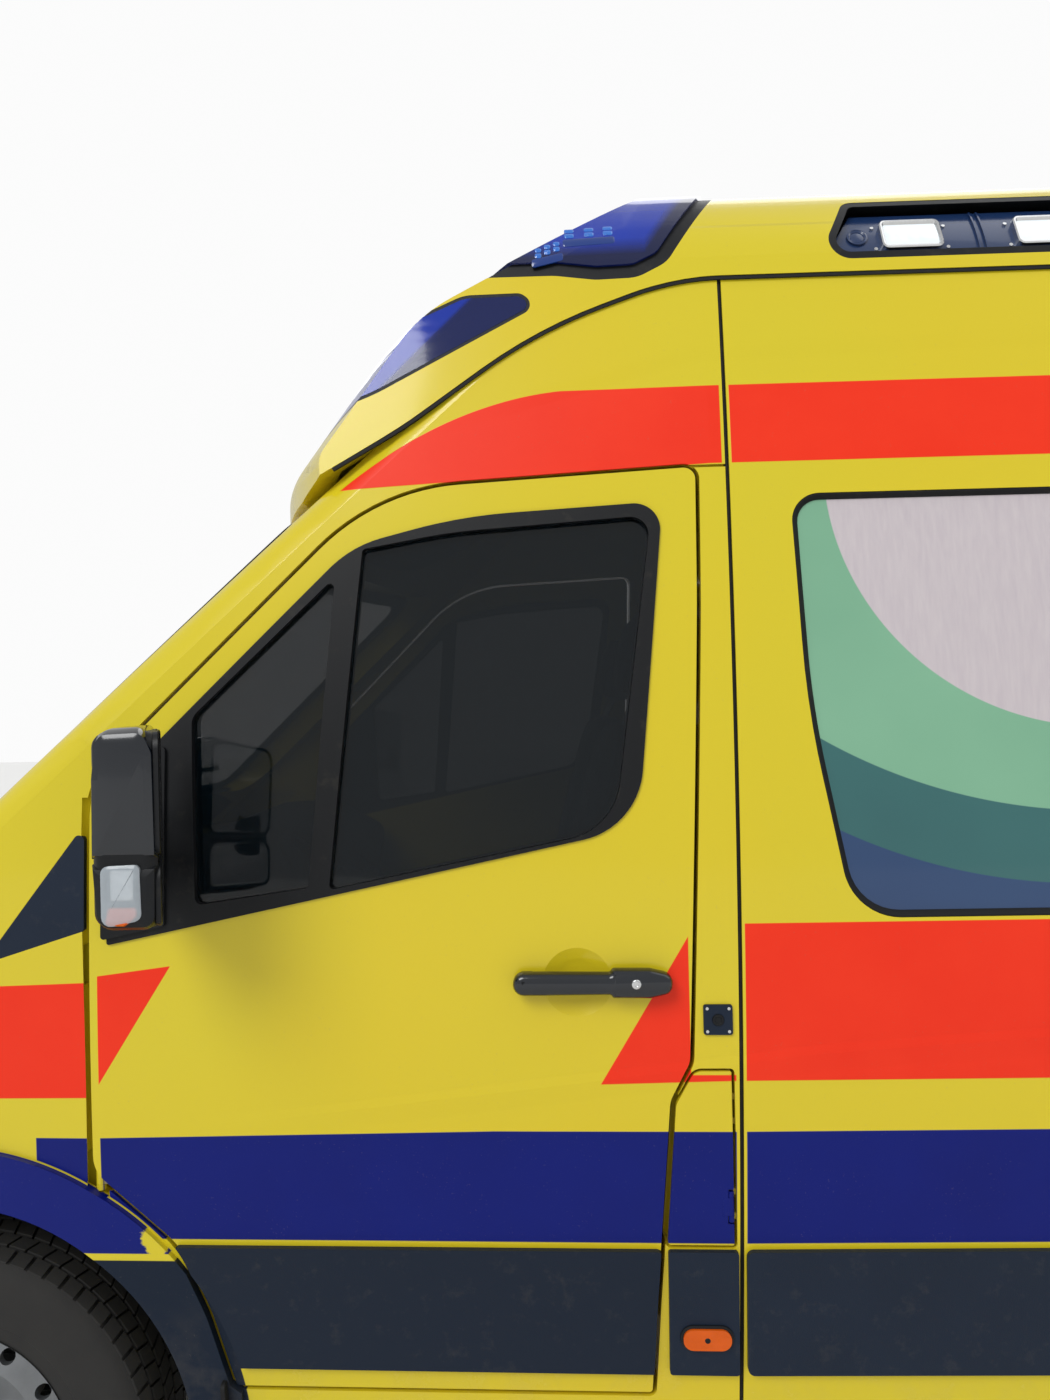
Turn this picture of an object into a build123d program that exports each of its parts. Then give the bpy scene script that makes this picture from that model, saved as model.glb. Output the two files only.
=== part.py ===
from build123d import *
from functools import lru_cache
from math import cos, pi, radians, sin, sqrt, tan
import os

os.makedirs("parts", exist_ok=True)

# High-roof van ambulance, millimetres. It faces -X, its left side is at -Y, the ground is z = 0.

# Overall sizes
length = 5910
wheelbase = 3665
front_overhang = 1004
rear_step_reach = 30
nose_x = -length / 2
tail_x = length / 2
rear_face_x = tail_x - rear_step_reach
front_axle_x = nose_x + front_overhang
rear_axle_x = front_axle_x + wheelbase

# Body side: an upright arc, drawn in towards the nose in two steps
body_half = 985
widest_z = 1000
side_radius = 5686
sill_z = 330
body_top_z = 2520
cab_start_x = -600
nose_start_x = -1700
cab_taper = tan(radians(1.6))
nose_taper = tan(radians(5))
body_edge_radius = 60

# Nose and windscreen: surfaces of revolution about upright axes
hood_radius = 2400
hood_front_x = nose_x + 115
hood_front_z = 1043
hood_slope = radians(22.6)
fascia_lean = radians(8.1)
screen_radius = 2600
screen_base_x = -2222
screen_base_z = 1300
screen_slope = radians(44.1)
screen_axis_x = screen_base_x + screen_radius

# Walls, gaps and clearances
wall = 70
fender_thick = 28
panel_gap = 5
groove_depth = 12
bonnet_thick = 40
bonnet_edge = 130
bonnet_open = 55
swing_proud = 3
glass_thick = 8
fit = 0.3
proud = 11

# Wheels
tyre_radius = 345
tyre_half = 118
tread_half = 92
half_track = 855
hub_z = 345
arch_radius = 415
flare_width = 100
liner_radius = 455
liner_thick = 12
tunnel_y = 500
hub_bore = 32
steer_y = 742
steer_lean = radians(12)

# Side seams and doors
seam_low_x = -593
seam_high_x = -567
door_front_x = -1700
door_top_z = 2025
door_bottom_z = 440

# Roof cap
cap_proud = 6
cap_wall = 50
cap_seam_z = 2391
cap_tip_radius = 1888
cap_crown_z = 2698


def half_width(z):
    return body_half - side_radius + sqrt(side_radius**2 - (z - widest_z) ** 2)


def narrowing(x):
    cab_part = max(0, cab_start_x - x) * cab_taper
    nose_part = max(0, nose_start_x - x) * (nose_taper - cab_taper)
    return cab_part + nose_part


def side_y(x, z):
    """Distance of the painted side from the middle plane."""
    return half_width(z) - narrowing(x)


def rounded_path(corners):
    """Closed outline through rows of two coordinates and a corner radius."""
    places = [(u, v) for u, v, radius in corners]
    return FilletPolyline(*places, radius=[radius for u, v, radius in corners], close=True)


def mirrored(shape):
    return mirror(shape, Plane.XZ)


def both(shape):
    return Compound([*shape.solids(), *mirrored(shape).solids()])


def across(corners, y_from, y_to):
    """Side-view outline of (x, z, corner radius) rows, pulled out across the van."""
    path = rounded_path(corners)
    return extrude(Plane.XZ.offset(-y_to) * make_face(path), y_to - y_from)


def along(corners, x_from, x_to):
    """Front-view outline of (y, z, corner radius) rows, pulled out along the van."""
    path = rounded_path(corners)
    return extrude(Plane.YZ.offset(x_from) * make_face(path), x_to - x_from)


def upward(corners, z_from, z_to):
    """Plan outline of (x, y, corner radius) rows, pulled up."""
    path = rounded_path(corners)
    return extrude(Plane.XY.offset(z_from) * make_face(path), z_to - z_from)


def block(x_from, x_to, y_from, y_to, z_from, z_to):
    size = Box(x_to - x_from, y_to - y_from, z_to - z_from)
    return Pos((x_from + x_to) / 2, (y_from + y_to) / 2, (z_from + z_to) / 2) * size


def rod(start, end, radius):
    """Round bar between two points."""
    reach = Vector(*end) - Vector(*start)
    return extrude(Plane(origin=start, z_dir=reach) * Circle(radius), reach.length)


def drum(x, z, radius, y_from, y_to):
    """Round bar across the van."""
    return rod((x, y_from, z), (x, y_to, z), radius)


def drum_along(x_from, x_to, y, z, radius):
    """Round bar along the van."""
    return rod((x_from, y, z), (x_to, y, z), radius)


def turned(axis_x, profile, radii=None):
    """Solid turned about an upright axis on the middle plane from (radius, z) rows."""
    path = FilletPolyline(*profile, radius=radii or [0] * len(profile), close=True)
    return Pos(axis_x, 0, 0) * revolve(Plane.XZ * make_face(path), Axis.Z)


# Body form


def body_section(x, inset, bottom, top):
    right = [(half_width(z) - narrowing(x) - inset, z) for z in (bottom, widest_z, top)]
    left = [(-y, z) for y, z in reversed(right)]
    outline = [ThreePointArc(*right), Line(right[2], left[0]), ThreePointArc(*left), Line(left[2], right[0])]
    return Plane.YZ.offset(x) * make_face(Curve() + outline)


@lru_cache
def body_form(inset, bottom=None):
    """The closed outer shape of the van, drawn in by inset; an inner one runs on below the sills."""
    if bottom is None:
        bottom = sill_z - (100 if inset > 0 else 0)
    top = body_top_z - inset
    reach = nose_x - 60
    back = extrude(body_section(cab_start_x, inset, bottom, top), rear_face_x - inset - cab_start_x)
    front = loft([body_section(x, inset, bottom, top) for x in (cab_start_x, nose_start_x, reach)], ruled=True)

    hood_axis_x = hood_front_x + hood_radius
    edge_r = hood_radius - inset / cos(fascia_lean)
    foot_r = edge_r + hood_front_z * tan(fascia_lean)
    top_r = edge_r - (body_top_z - hood_front_z) * tan(fascia_lean)
    hood_drop = inset / cos(hood_slope)
    low_r = hood_radius + 600
    hood_low_z = hood_front_z - hood_drop - 600 * tan(hood_slope)
    hood_high_z = hood_front_z - hood_drop + hood_radius * tan(hood_slope)
    fascia = turned(hood_axis_x, [(0, 0), (foot_r, 0), (top_r, body_top_z), (0, body_top_z)])
    hood = turned(hood_axis_x, [(0, 0), (low_r, 0), (low_r, hood_low_z), (0, hood_high_z)])

    draw = inset / sin(screen_slope)
    screen_foot_r = screen_radius + screen_base_z / tan(screen_slope) - draw
    screen_top_r = screen_foot_r - body_top_z / tan(screen_slope)
    screen = turned(screen_axis_x, [(0, 0), (screen_foot_r, 0), (screen_top_r, body_top_z), (0, body_top_z)])
    front = front & fascia
    return back + (front & screen) + (front & hood)


def front_edges(form):
    """The long edges between the sides, windscreen, hood and fascia."""
    chosen = []
    for edge in form.edges():
        box = edge.bounding_box()
        runs = box.size.X > 1 and box.size.Z > 1 and box.max.X < cab_start_x
        if (runs and box.size.Y < body_half) or abs(edge.center().Z - hood_front_z) < 1:
            chosen.append(edge)
    return chosen


outer = fillet(front_edges(body_form(0)), body_edge_radius)
inner = body_form(wall)
lining = body_form(wall + fit)


def layer(zone, outset, inset):
    """The part of a zone between two depths below the painted surface."""
    outside = outer if outset == 0 else body_form(outset)
    return (outside & zone) - body_form(inset)


# Side seam between cab and load space, and the line of the roof cap's lower edge

high = 3000
low = 0
far_left = -1300
far_right = 1300


def seam_x(z):
    return seam_low_x + (z - sill_z) * (seam_high_x - seam_low_x) / (cap_seam_z - sill_z)


cap_line = [
    (rear_face_x + 40, cap_seam_z, 0),
    (-650, cap_seam_z, 500),
    (-900, 2300, 900),
    (-1148, 2120, 900),
    (-1303, 2029, 60),
    (-1360, 2012, 0),
    (-1620, 2000, 0),
    (-1620, high, 0),
    (rear_face_x + 40, high, 0),
]
above_cap_line = across(cap_line, far_left, far_right)

# Front doors: side-view outline of the left one, rows of x, z, corner radius

door_corners = [
    (door_front_x, 824, 60),
    (door_front_x, 1500, 150),
    (-1190, 2006, 380),
    (-624, door_top_z + 6, 24),
    (-631, 1790, 2000),
    (-654, 1283, 2000),
    (-666, 1012, 40),
    (-700, 948, 40),
    (-728, 600, 2000),
    (-738, door_bottom_z, 10),
    (-1462, door_bottom_z, 10),
    (-1500, 575, 300),
    (-1550, 692, 150),
]


def door_prism(grow, y_from=far_left, y_to=-300):
    """The front door's outline as a prism through the left side, grown or shrunk all round."""
    path = rounded_path(door_corners)
    face = make_face(path)
    if grow:
        face = offset(face, grow)
    return extrude(Plane.XZ.offset(-y_to) * face, y_to - y_from)


# Hinges: a pin between two lugs on the fixed side, a barrel with a web on the moving side

lug_height = 10
stack_gap = 0.4
lug_margin = 3


class Hinge:
    """Hinge about local z. Fixed lugs follow rows of x and y ranges, the moving web runs along local +x."""

    def __init__(self, place, pin, barrel, height, lug_rows, web_reach, web_half, room_gap, room_deep):
        half = height / 2
        top = half + stack_gap
        lugs = Part()
        for z in (top, -top - lug_height):
            lugs = lugs + Pos(0, 0, z + lug_height / 2) * Cylinder(barrel, lug_height)
            for x_from, x_to, y_from, y_to in lug_rows:
                lugs = lugs + block(x_from, x_to, y_from, y_to, z, z + lug_height)
        self.fixed = place * (lugs + Cylinder(pin, 2 * (top + lug_height)))
        web = Pos(web_reach / 2, 0, 0) * Box(web_reach, 2 * web_half, height)
        self.moving = place * ((Cylinder(barrel, height) + web) - Cylinder(pin + fit, height + 2))
        reach = barrel + room_gap
        room_half = top + lug_height + 4
        room = Cylinder(reach, 2 * room_half)
        if room_deep:
            room = room + block(-reach, reach, 0, room_deep, -room_half, room_half)
        self.room = place * room
        lug_room = block(-60 - lug_margin, lug_margin, 0, 50 + lug_margin, -room_half, room_half)
        self.lug_room = place * (lug_room + Cylinder(barrel + 1, 2 * room_half))
        self.fixed_room = place * Cylinder(barrel + 6, 2 * (half + stack_gap / 2))


# Vertical hinge line of the front doors, just inside the widest part of the skin

door_pin = 4.5
door_barrel = 8.3
door_gap = 7.2
hinge_inset = 16
skin_thick = 3
lug_rows = [(-8, 0, 0, 50), (-60, 0, 26, 50)]
door_nose = 8
nose_radius = sqrt(door_nose**2 + hinge_inset**2)
jamb_radius = nose_radius + panel_gap
door_hinge_x = door_front_x + door_gap / 2 + door_nose
door_hinge_y = side_y(door_hinge_x, widest_z) - hinge_inset
door_hinge_heights = (820, 1180)

# Windows, rows of x, z, corner radius

surround_corners = [
    (-1664, 1216, 4),
    (-746, 1405, 130),
    (-688, 1966, 45),
    (-1040, 1950, 900),
    (-1235, 1902, 200),
    (-1664, 1478, 10),
]
quarter_corners = [(-1508, 1283, 12), (-1310, 1310, 8), (-1264, 1848, 8), (-1516, 1606, 30)]
main_corners = [(-1275, 1306, 8), (-786, 1402, 110), (-708, 1942, 32), (-1060, 1922, 900), (-1216, 1896, 8)]
cabin_window = [(-466, 1974, 50), (-456, 1600, 1500), (-392, 1249, 95), (760, 1249, 60), (760, 1974, 60)]


def hood_z(x, y):
    """Height of the hood's surface."""
    spread = sqrt((hood_front_x + hood_radius - x) ** 2 + y**2)
    return hood_front_z + (hood_radius - spread) * tan(hood_slope)


# Bonnet, in plan: its rear edge runs beside the windscreen's foot

bonnet_rear_radius = screen_radius + 22
bonnet_corner_y = 850
bonnet_corner_x = screen_axis_x - sqrt(bonnet_rear_radius**2 - bonnet_corner_y**2)
bonnet_lip_z = hood_front_z - 50
bonnet_sides = [(-2330, 836), (-2640, 760), (nose_x - 40, 600)]


def bonnet_prism(grow):
    rear = ThreePointArc(
        (bonnet_corner_x + grow, bonnet_corner_y + grow),
        (screen_axis_x - bonnet_rear_radius + grow, 0),
        (bonnet_corner_x + grow, -bonnet_corner_y - grow),
    )
    left = [(x, -y - grow) for x, y in bonnet_sides]
    right = [(x, y + grow) for x, y in reversed(bonnet_sides)]
    sides = Polyline((bonnet_corner_x + grow, -bonnet_corner_y - grow), *left, *right, rear @ 0)
    return extrude(Plane.XY.offset(bonnet_lip_z - grow) * make_face(Curve() + [rear, sides]), 600)


bonnet_nose = 8
bonnet_hinge_y = 812
bonnet_hinge_x = bonnet_corner_x - bonnet_nose
bonnet_hinge_z = hood_z(bonnet_hinge_x, bonnet_hinge_y) - hinge_inset
bonnet_nose_radius = nose_radius
bonnet_jamb_radius = bonnet_nose_radius + panel_gap


def bonnet_hinge(side):
    origin = (bonnet_hinge_x, side * bonnet_hinge_y, bonnet_hinge_z)
    place = Plane(origin=origin, x_dir=(-1, 0, 0), z_dir=(0, -1, 0)).location
    return Hinge(
        place,
        door_pin,
        door_barrel,
        height=30,
        lug_rows=lug_rows,
        web_reach=40,
        web_half=5,
        room_gap=8,
        room_deep=56,
    )


bonnet_jamb = drum(bonnet_hinge_x, bonnet_hinge_z, bonnet_jamb_radius, -bonnet_corner_y - 8, -bonnet_hinge_y + 60)
bonnet_jamb = bonnet_jamb + mirrored(bonnet_jamb)

# Wheel arches


def arch_cut(x, radius, y_from, y_to):
    return drum(x, hub_z, radius, y_from, y_to) + block(x - radius, x + radius, y_from, y_to, low, hub_z)


def arch_ring(x):
    """Raised band round the left arch of one wheel."""
    ring = drum(x, hub_z, arch_radius + flare_width, far_left, -700) - arch_cut(x, arch_radius, far_left, -700)
    return ring - block(x - 600, x + 600, far_left, -700, low, sill_z)


flare_front = layer(arch_ring(front_axle_x), -proud, fender_thick)
flare_rear = layer(arch_ring(rear_axle_x), -proud, fender_thick)

# Lamps in the nose, rows of y, z, corner radius in the front view

head_corners = [(-585, 742, 30), (-640, 985, 40), (-760, 1062, 60), (-1000, 1062, 0), (-1000, 790, 0), (-800, 742, 60)]
head_rear = [(nose_x - 40, 700, 0), (nose_x - 40, 1100, 0), (-2560, 1100, 30), (-2700, 760, 40), (-2760, 700, 0)]


def head_prism(grow):
    front_path = rounded_path(head_corners)
    side_path = rounded_path(head_rear)
    front_face = offset(make_face(front_path), grow) if grow else make_face(front_path)
    side_face = offset(make_face(side_path), grow) if grow else make_face(side_path)
    front_solid = extrude(Plane.YZ.offset(nose_x - 40) * front_face, 600)
    return front_solid & extrude(Plane.XZ * side_face, 1300)


bumper_top_z = 610
bumper_bottom_z = 290
bumper_proud = 14
grille_corners = [(-560, 650, 30), (-626, 960, 30), (626, 960, 30), (560, 650, 30)]

# Shared cuts, made on the left side

bonnet_room = bonnet_prism(panel_gap)
door_room = door_prism(door_gap / 2)
jamb = rod((door_hinge_x, -door_hinge_y, 780), (door_hinge_x, -door_hinge_y, 1470), jamb_radius)
arch_front = arch_cut(front_axle_x, arch_radius, far_left, -520)
arch_rear = arch_cut(rear_axle_x, arch_radius, far_left, -690)


def largest(shape, count=1):
    """The main pieces of a cut, without its offcuts."""
    return Compound(sorted(shape.solids(), key=lambda solid: -solid.volume)[:count])


def one(shape):
    return shape.solids()[0] if len(shape.solids()) == 1 else largest(shape).solids()[0]


def save(name, shape):
    solids = shape.solids()
    export_step(solids[0] if len(solids) == 1 else Compound(solids), f"parts/{name}.step")


# Hinges of the bonnet and of the left front door

bonnet_hinges = [bonnet_hinge(-1), bonnet_hinge(1)]
door_hinges = [
    Hinge(
        Pos(door_hinge_x, -door_hinge_y, z),
        door_pin,
        door_barrel,
        height=40,
        lug_rows=lug_rows,
        web_reach=40,
        web_half=5,
        room_gap=8,
        room_deep=56,
    )
    for z in door_hinge_heights
]

# Fuel flap on the left door pillar

flap_low_z = 704
flap_high_z = 998
flap_thick = 12
flap_pocket = 45
flap_pin = 2.2
flap_barrel = 4.6
flap_hinge_x = seam_x(flap_low_z) - 17
flap_hinge_y = side_y(flap_hinge_x, widest_z) - flap_thick / 2 - 1.5
flap_nose = 7.5
flap_corners = [
    (flap_hinge_x + 4, flap_low_z, 3),
    (-712, flap_low_z, 6),
    (-694, 942, 30),
    (-662, flap_high_z, 20),
    (flap_hinge_x + 4, flap_high_z, 3),
]


def flap_prism(grow):
    path = rounded_path(flap_corners)
    face = offset(make_face(path), grow) if grow else make_face(path)
    return extrude(Plane.XZ.offset(800) * face, 300)


flap_hinges = [
    Hinge(
        Pos(flap_hinge_x, -flap_hinge_y, z) * Rot(0, 180, 0),
        flap_pin,
        flap_barrel,
        height=30,
        lug_rows=[(-4, 4, 0, 14), (-16, 4, 9, 14)],
        web_reach=14,
        web_half=3,
        room_gap=1.4,
        room_deep=flap_thick + 2,
    )
    for z in (770, 930)
]

# Fender outline on the left side, rows of x, z, corner radius

fender_front_x = -2380
fender_corners = [
    (-1704, 1236, 0),
    (-1909, 1173, 0),
    (-1787, 1325, 0),
    (-2080, 1345, 0),
    (nose_x - 40, 1345, 0),
    (nose_x - 40, 1052, 0),
    (-2715, 1052, 0),
    (-2715, bumper_top_z + panel_gap, 0),
    (fender_front_x, bumper_top_z + panel_gap, 0),
    (fender_front_x, sill_z - 50, 0),
    (-1449, sill_z - 50, 0),
    (-1449, door_bottom_z - 4, 0),
    (-1600, door_bottom_z + 100, 0),
    (-1704, 740, 0),
]
triangle_corners = [(-1706, 1240, 6), (-1894, 1181, 6), (-1706, 1424, 10)]
cowl_zone = block(-2400, -1500, -bonnet_corner_y, bonnet_corner_y, 1100, high)
fender_zone = across(fender_corners, far_left, -560) - cowl_zone + (
    across([(-1600, 540, 0), (-1449, 436, 0), (-1449, 760, 0), (-1704, 840, 0), (-1704, 740, 0)], far_left, -560)
    - door_room
)
triangle = across(triangle_corners, far_left, -700)

# Raised side mouldings, rows of x from, x to on the left, and their heights

moulding_low_z = 482
moulding_high_z = 697
flare_edge = arch_radius + flare_width + 6


def moulding(x_from, x_to, edge=12):
    corners = [
        (x_from, moulding_low_z, edge),
        (x_to, moulding_low_z, edge),
        (x_to, moulding_high_z, edge),
        (x_from, moulding_high_z, edge),
    ]
    return (body_form(-proud) & across(corners, far_left, -600)) - outer


# Front doors

door_leaf = door_prism(-door_gap / 2)
door_face = rounded_path(door_corners)
swing_face = Plane.XZ.offset(door_hinge_y) * (
    offset(make_face(door_face), door_gap / 2 - panel_gap) & Pos(door_hinge_x + 800, 1200) * Rectangle(1600, 2400)
)
swing_room = revolve(swing_face, Axis((door_hinge_x, -door_hinge_y, 0), (0, 0, 1)))
ahead_of_pin = block(door_front_x - 60, door_hinge_x, far_left, -600, 700, 1600)
window_hole = across(surround_corners, far_left, -500)

handle_x_from = -954
handle_x_to = -708
handle_z = 1151
dish_x = -858
dish_radius = 58


def front_door():
    leaf = (outer & door_leaf) - inner
    leaf = leaf & (swing_room + ahead_of_pin)
    nose = rod((door_hinge_x, -door_hinge_y, 690), (door_hinge_x, -door_hinge_y, 1610), nose_radius)
    leaf = leaf - (ahead_of_pin - nose)
    leaf = leaf - window_hole
    face_y = side_y(dish_x, handle_z)
    dish = Pos(dish_x, -face_y - 130, handle_z) * Sphere(sqrt(dish_radius**2 + 130**2))
    leaf = leaf - dish
    for hinge in door_hinges:
        leaf = leaf - (hinge.room & body_form(skin_thick))
    leaf = one(leaf)
    for hinge in door_hinges:
        leaf = leaf + hinge.moving
    return one(leaf)


glass_depth = 10
trim_proud = 4
trim_depth = 45


def pane(corners):
    """Glass that fits a window opening on the left side."""
    path = rounded_path(corners)
    prism = extrude(Plane.XZ.offset(400) * offset(make_face(path), -fit), 900)
    return one(layer(prism, glass_depth, glass_depth + glass_thick))


mirror_x_from = -1576
mirror_x_to = -1472
mirror_toe = 66
mirror_z_from = 1296
mirror_z_to = 1590
mirror_reach = 1213
mirror_root = 1030


def front_door_trim():
    """Window surround, mirror, handle and moulding of the left front door."""
    ring = layer(across(surround_corners, far_left, -500), -trim_proud, trim_depth)
    ring = ring - across(quarter_corners, far_left, -500) - across(main_corners, far_left, -500)
    foot = across([(-1672, 1226, 6), (-1560, 1250, 6), (-1560, 1566, 6), (-1672, 1436, 20)], far_left, -500)
    ring = ring + ((body_form(-proud) & foot) - outer)
    case = block(mirror_x_from, mirror_x_to, -mirror_reach, -mirror_root, mirror_z_from, mirror_z_to)
    case = fillet(case.edges(), 24)
    toe_corners = [
        (mirror_x_to, -mirror_reach, 0),
        (mirror_x_to + 10, -mirror_reach, 0),
        (mirror_x_to + 10, -mirror_root, 0),
        (mirror_x_to - mirror_toe, -mirror_root, 0),
    ]
    case = case - upward(toe_corners, mirror_z_from - 10, mirror_z_to + 10)
    arm_y = side_y(-1600, 1350) - 20
    arm = rod((-1612, -arm_y, 1330), (-1558, -mirror_root - 40, 1350), 24)
    arm = arm + rod((-1612, -arm_y, 1420), (-1558, -mirror_root - 40, 1420), 20)
    trim = one(ring + ((arm - outer) + case))
    strip = moulding(-1560, -720) & door_leaf
    strip = strip - drum(front_axle_x, hub_z, flare_edge, far_left, -600)
    grip_y = side_y(dish_x, handle_z)
    grip = block(handle_x_from, handle_x_to, -grip_y - 32, -grip_y - 12, handle_z - 14, handle_z + 14)
    grip = fillet(grip.edges(), 8)
    for x in (handle_x_from + 18, handle_x_to - 24):
        grip = grip + block(x - 12, x + 12, -grip_y - 20, -grip_y + 3, handle_z - 10, handle_z + 10)
    return trim, one(strip), one(grip - outer)


shell_left = (outer & block(nose_x - 60, rear_face_x + 10, far_left, 0, low, high)) - inner

door_shell = front_door()
save("front_door_left", door_shell)
save("front_door_right", mirrored(door_shell))
door_panes = [pane(quarter_corners), pane(main_corners)]
save("front_door_glass_left", Compound(door_panes))
save("front_door_glass_right", mirrored(Compound(door_panes)))
door_trim = Compound(list(front_door_trim()))
save("front_door_trim_left", door_trim)
save("front_door_trim_right", mirrored(door_trim))

# Cab frame: pillars, sills, cowl and firewall

screen_corners = [(-838, 1340, 60), (838, 1340, 60), (768, 1972, 70), (-768, 1972, 70)]
cab_corners = [
    (seam_x(0), 0, 0),
    (seam_x(high), high, 0),
    (-2400, high, 0),
    (-2400, 1150, 0),
    (-1704, 1150, 0),
    (-1704, 0, 0),
]
firewall_x = -1838
seam_low = seam_x(low)
seam_high = seam_x(high)
seam_half = 3.5
side_seam = [
    (seam_low - seam_half, low, 0),
    (seam_low + seam_half, low, 0),
    (seam_high + seam_half, high, 0),
    (seam_high - seam_half, high, 0),
]
groove_zone = across(side_seam, far_left, far_right)
pillar_seam = [(-640, 2026, 0), (-575, 2026, 0), (-575, 2031, 0), (-640, 2031, 0)]
groove_zone = groove_zone + across(pillar_seam, far_left, far_right)


fender_lining = body_form(fender_thick)
post_x = door_front_x - 90


triangle_skin = layer(triangle, 0, groove_depth)
groove = layer(groove_zone, 0, groove_depth)


def cab_side():
    """Left half of the cab frame without its cross pieces."""
    half = shell_left & across(cab_corners, far_left, 0)
    half = half - fender_zone - door_room - above_cap_line - bonnet_room - arch_front
    post = (fender_lining & block(post_x, door_front_x + 40, far_left, 0, door_bottom_z, 1300)) - inner
    post = post - door_room - arch_cut(front_axle_x, liner_radius + 14, far_left, 0)
    half = half + post - jamb - triangle_skin
    for hinge in door_hinges:
        half = (half - hinge.fixed_room) + hinge.fixed
    return half


side = cab_side()
right_side = mirrored(side)
side = side - layer(flap_prism(panel_gap), 0, flap_pocket)
for hinge in flap_hinges:
    side = side + hinge.fixed
shelf = outer & block(-2236, firewall_x, -840, 840, 1198, 1225)
firewall = (inner & block(firewall_x - 12, firewall_x, -900, 900, 700, 1225)) + (shelf - bonnet_room)
house_room = drum(front_axle_x, hub_z, liner_radius + liner_thick + fit, far_left, -tunnel_y + liner_thick + fit)
firewall = firewall - house_room - mirrored(house_room)
cab = side + right_side + firewall - bonnet_jamb
edge_zone = block(bonnet_hinge_x - bonnet_edge, bonnet_hinge_x, -bonnet_corner_y, bonnet_corner_y, 1100, 1400)
swung_edge = layer(bonnet_room & edge_zone, -swing_proud, bonnet_thick)
bonnet_swing = Axis((bonnet_hinge_x, 0, bonnet_hinge_z), (0, 1, 0))
for turn in range(5, bonnet_open + 5, 5):
    cab = cab - swung_edge.rotate(bonnet_swing, turn)
for hinge in bonnet_hinges:
    cab = (cab - hinge.fixed_room) + hinge.fixed
cab = cab - along(screen_corners, -2500, -1100) - groove
save("cab_frame", one(cab))

flap = layer(flap_prism(0), 0, flap_thick)
flap_front = block(flap_hinge_x, flap_hinge_x + 20, far_left, -600, 600, 1100)
flap_rod = rod((flap_hinge_x, -flap_hinge_y, 600), (flap_hinge_x, -flap_hinge_y, 1100), flap_nose)
flap = flap - (flap_front - flap_rod)
for hinge in flap_hinges:
    flap = flap - hinge.room
flap = one(flap)
for hinge in flap_hinges:
    flap = flap + hinge.moving
save("fuel_flap", one(flap))

# Fenders

lamp_room = head_prism(fit)

fender = layer(fender_zone, 0, fender_thick) - bonnet_room - arch_front - lamp_room
fender = fender - triangle_skin - jamb
fender = one(fender) + (flare_front & fender_zone)
for hinge in door_hinges:
    fender = fender - hinge.lug_room
fender = one(fender)
save("fenders", both(fender))

# Side panels and the sliding door on the right, which has no joint

panel_end_x = 2800
step_front_x = 2700
step_high_z = 525
ahead_of_seam = across([(seam_x(low), low, 0), (-900, low, 0), (-900, high, 0), (seam_x(high), high, 0)], far_left, 0)
panel = (shell_left & block(-700, panel_end_x, far_left, 0, low, high)) - ahead_of_seam
panel = panel - above_cap_line - arch_rear - across(cabin_window, far_left, -500)
panel = panel - block(step_front_x, panel_end_x + 50, far_left, 0, low, step_high_z) - groove
panel = one(one(panel) + flare_rear)
save("side_panel_left", panel)

slide_corners = [(-535, door_bottom_z, 30), (860, door_bottom_z, 30), (860, 2215, 40), (-520, 2215, 40)]


def slide_zone(grow):
    path = rounded_path(slide_corners)
    face = offset(make_face(path), grow) if grow else make_face(path)
    return extrude(Plane.XZ.offset(-far_right) * face, 900)


slide_groove = layer(slide_zone(panel_gap / 2) - slide_zone(-panel_gap / 2), 0, groove_depth)
right_panel = mirrored(panel)
slide = layer(slide_zone(0), 0, wall) - mirrored(across(cabin_window, far_left, -500)) - slide_groove
save("side_panel_right", one(right_panel - slide_zone(0) - slide_groove))
save("sliding_door", one(slide))
windows = [pane(cabin_window)]
save("cabin_windows", both(Compound(windows)))

# Rear frame, rear doors and step

portal_inset = 95
portal_low_z = 600
portal_high_z = 2330
rear_door_thick = 60
rear_gap = 12
rear_fit = 4


def portal(grow):
    """Rear door opening as a prism, grown or shrunk all round."""
    x = rear_face_x - 200
    return extrude(body_section(x, portal_inset - grow, portal_low_z - grow, portal_high_z + grow), 300)


tail_low_z = 905
tail_high_z = 1290
tail_front_x = 2835
tail_thick = 45


def tail_prism(grow):
    side_edge = portal_inset - 10
    prism = block(
        tail_front_x - grow, rear_face_x + 20, far_left, -body_half + side_edge + grow, tail_low_z - grow, tail_high_z + grow
    )
    return prism


rear_frame = layer(block(panel_end_x, rear_face_x + 10, far_left, far_right, step_high_z, high), 0, wall)
rear_frame = rear_frame - above_cap_line - portal(rear_fit)
tail_pocket = layer(tail_prism(1), 0, tail_thick)
rear_frame = rear_frame - tail_pocket - mirrored(tail_pocket)
rear_hinge_r = 11
rear_hinge_x = rear_face_x + rear_hinge_r + 2
rear_hinge_y = body_half - portal_inset - 8
rear_hinge_heights = (780, 1400, 2010)


def rear_hinge(z):
    place = Plane(origin=(rear_hinge_x, -rear_hinge_y, z), x_dir=(0, 1, 0), z_dir=(0, 0, 1)).location
    edge = rear_hinge_y - (half_width(z) - portal_inset)
    return Hinge(
        place,
        pin=5,
        barrel=rear_hinge_r,
        height=50,
        lug_rows=[(-55, 0, -4, 4)],
        web_reach=50 + edge,
        web_half=4,
        room_gap=8,
        room_deep=0,
    )


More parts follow.
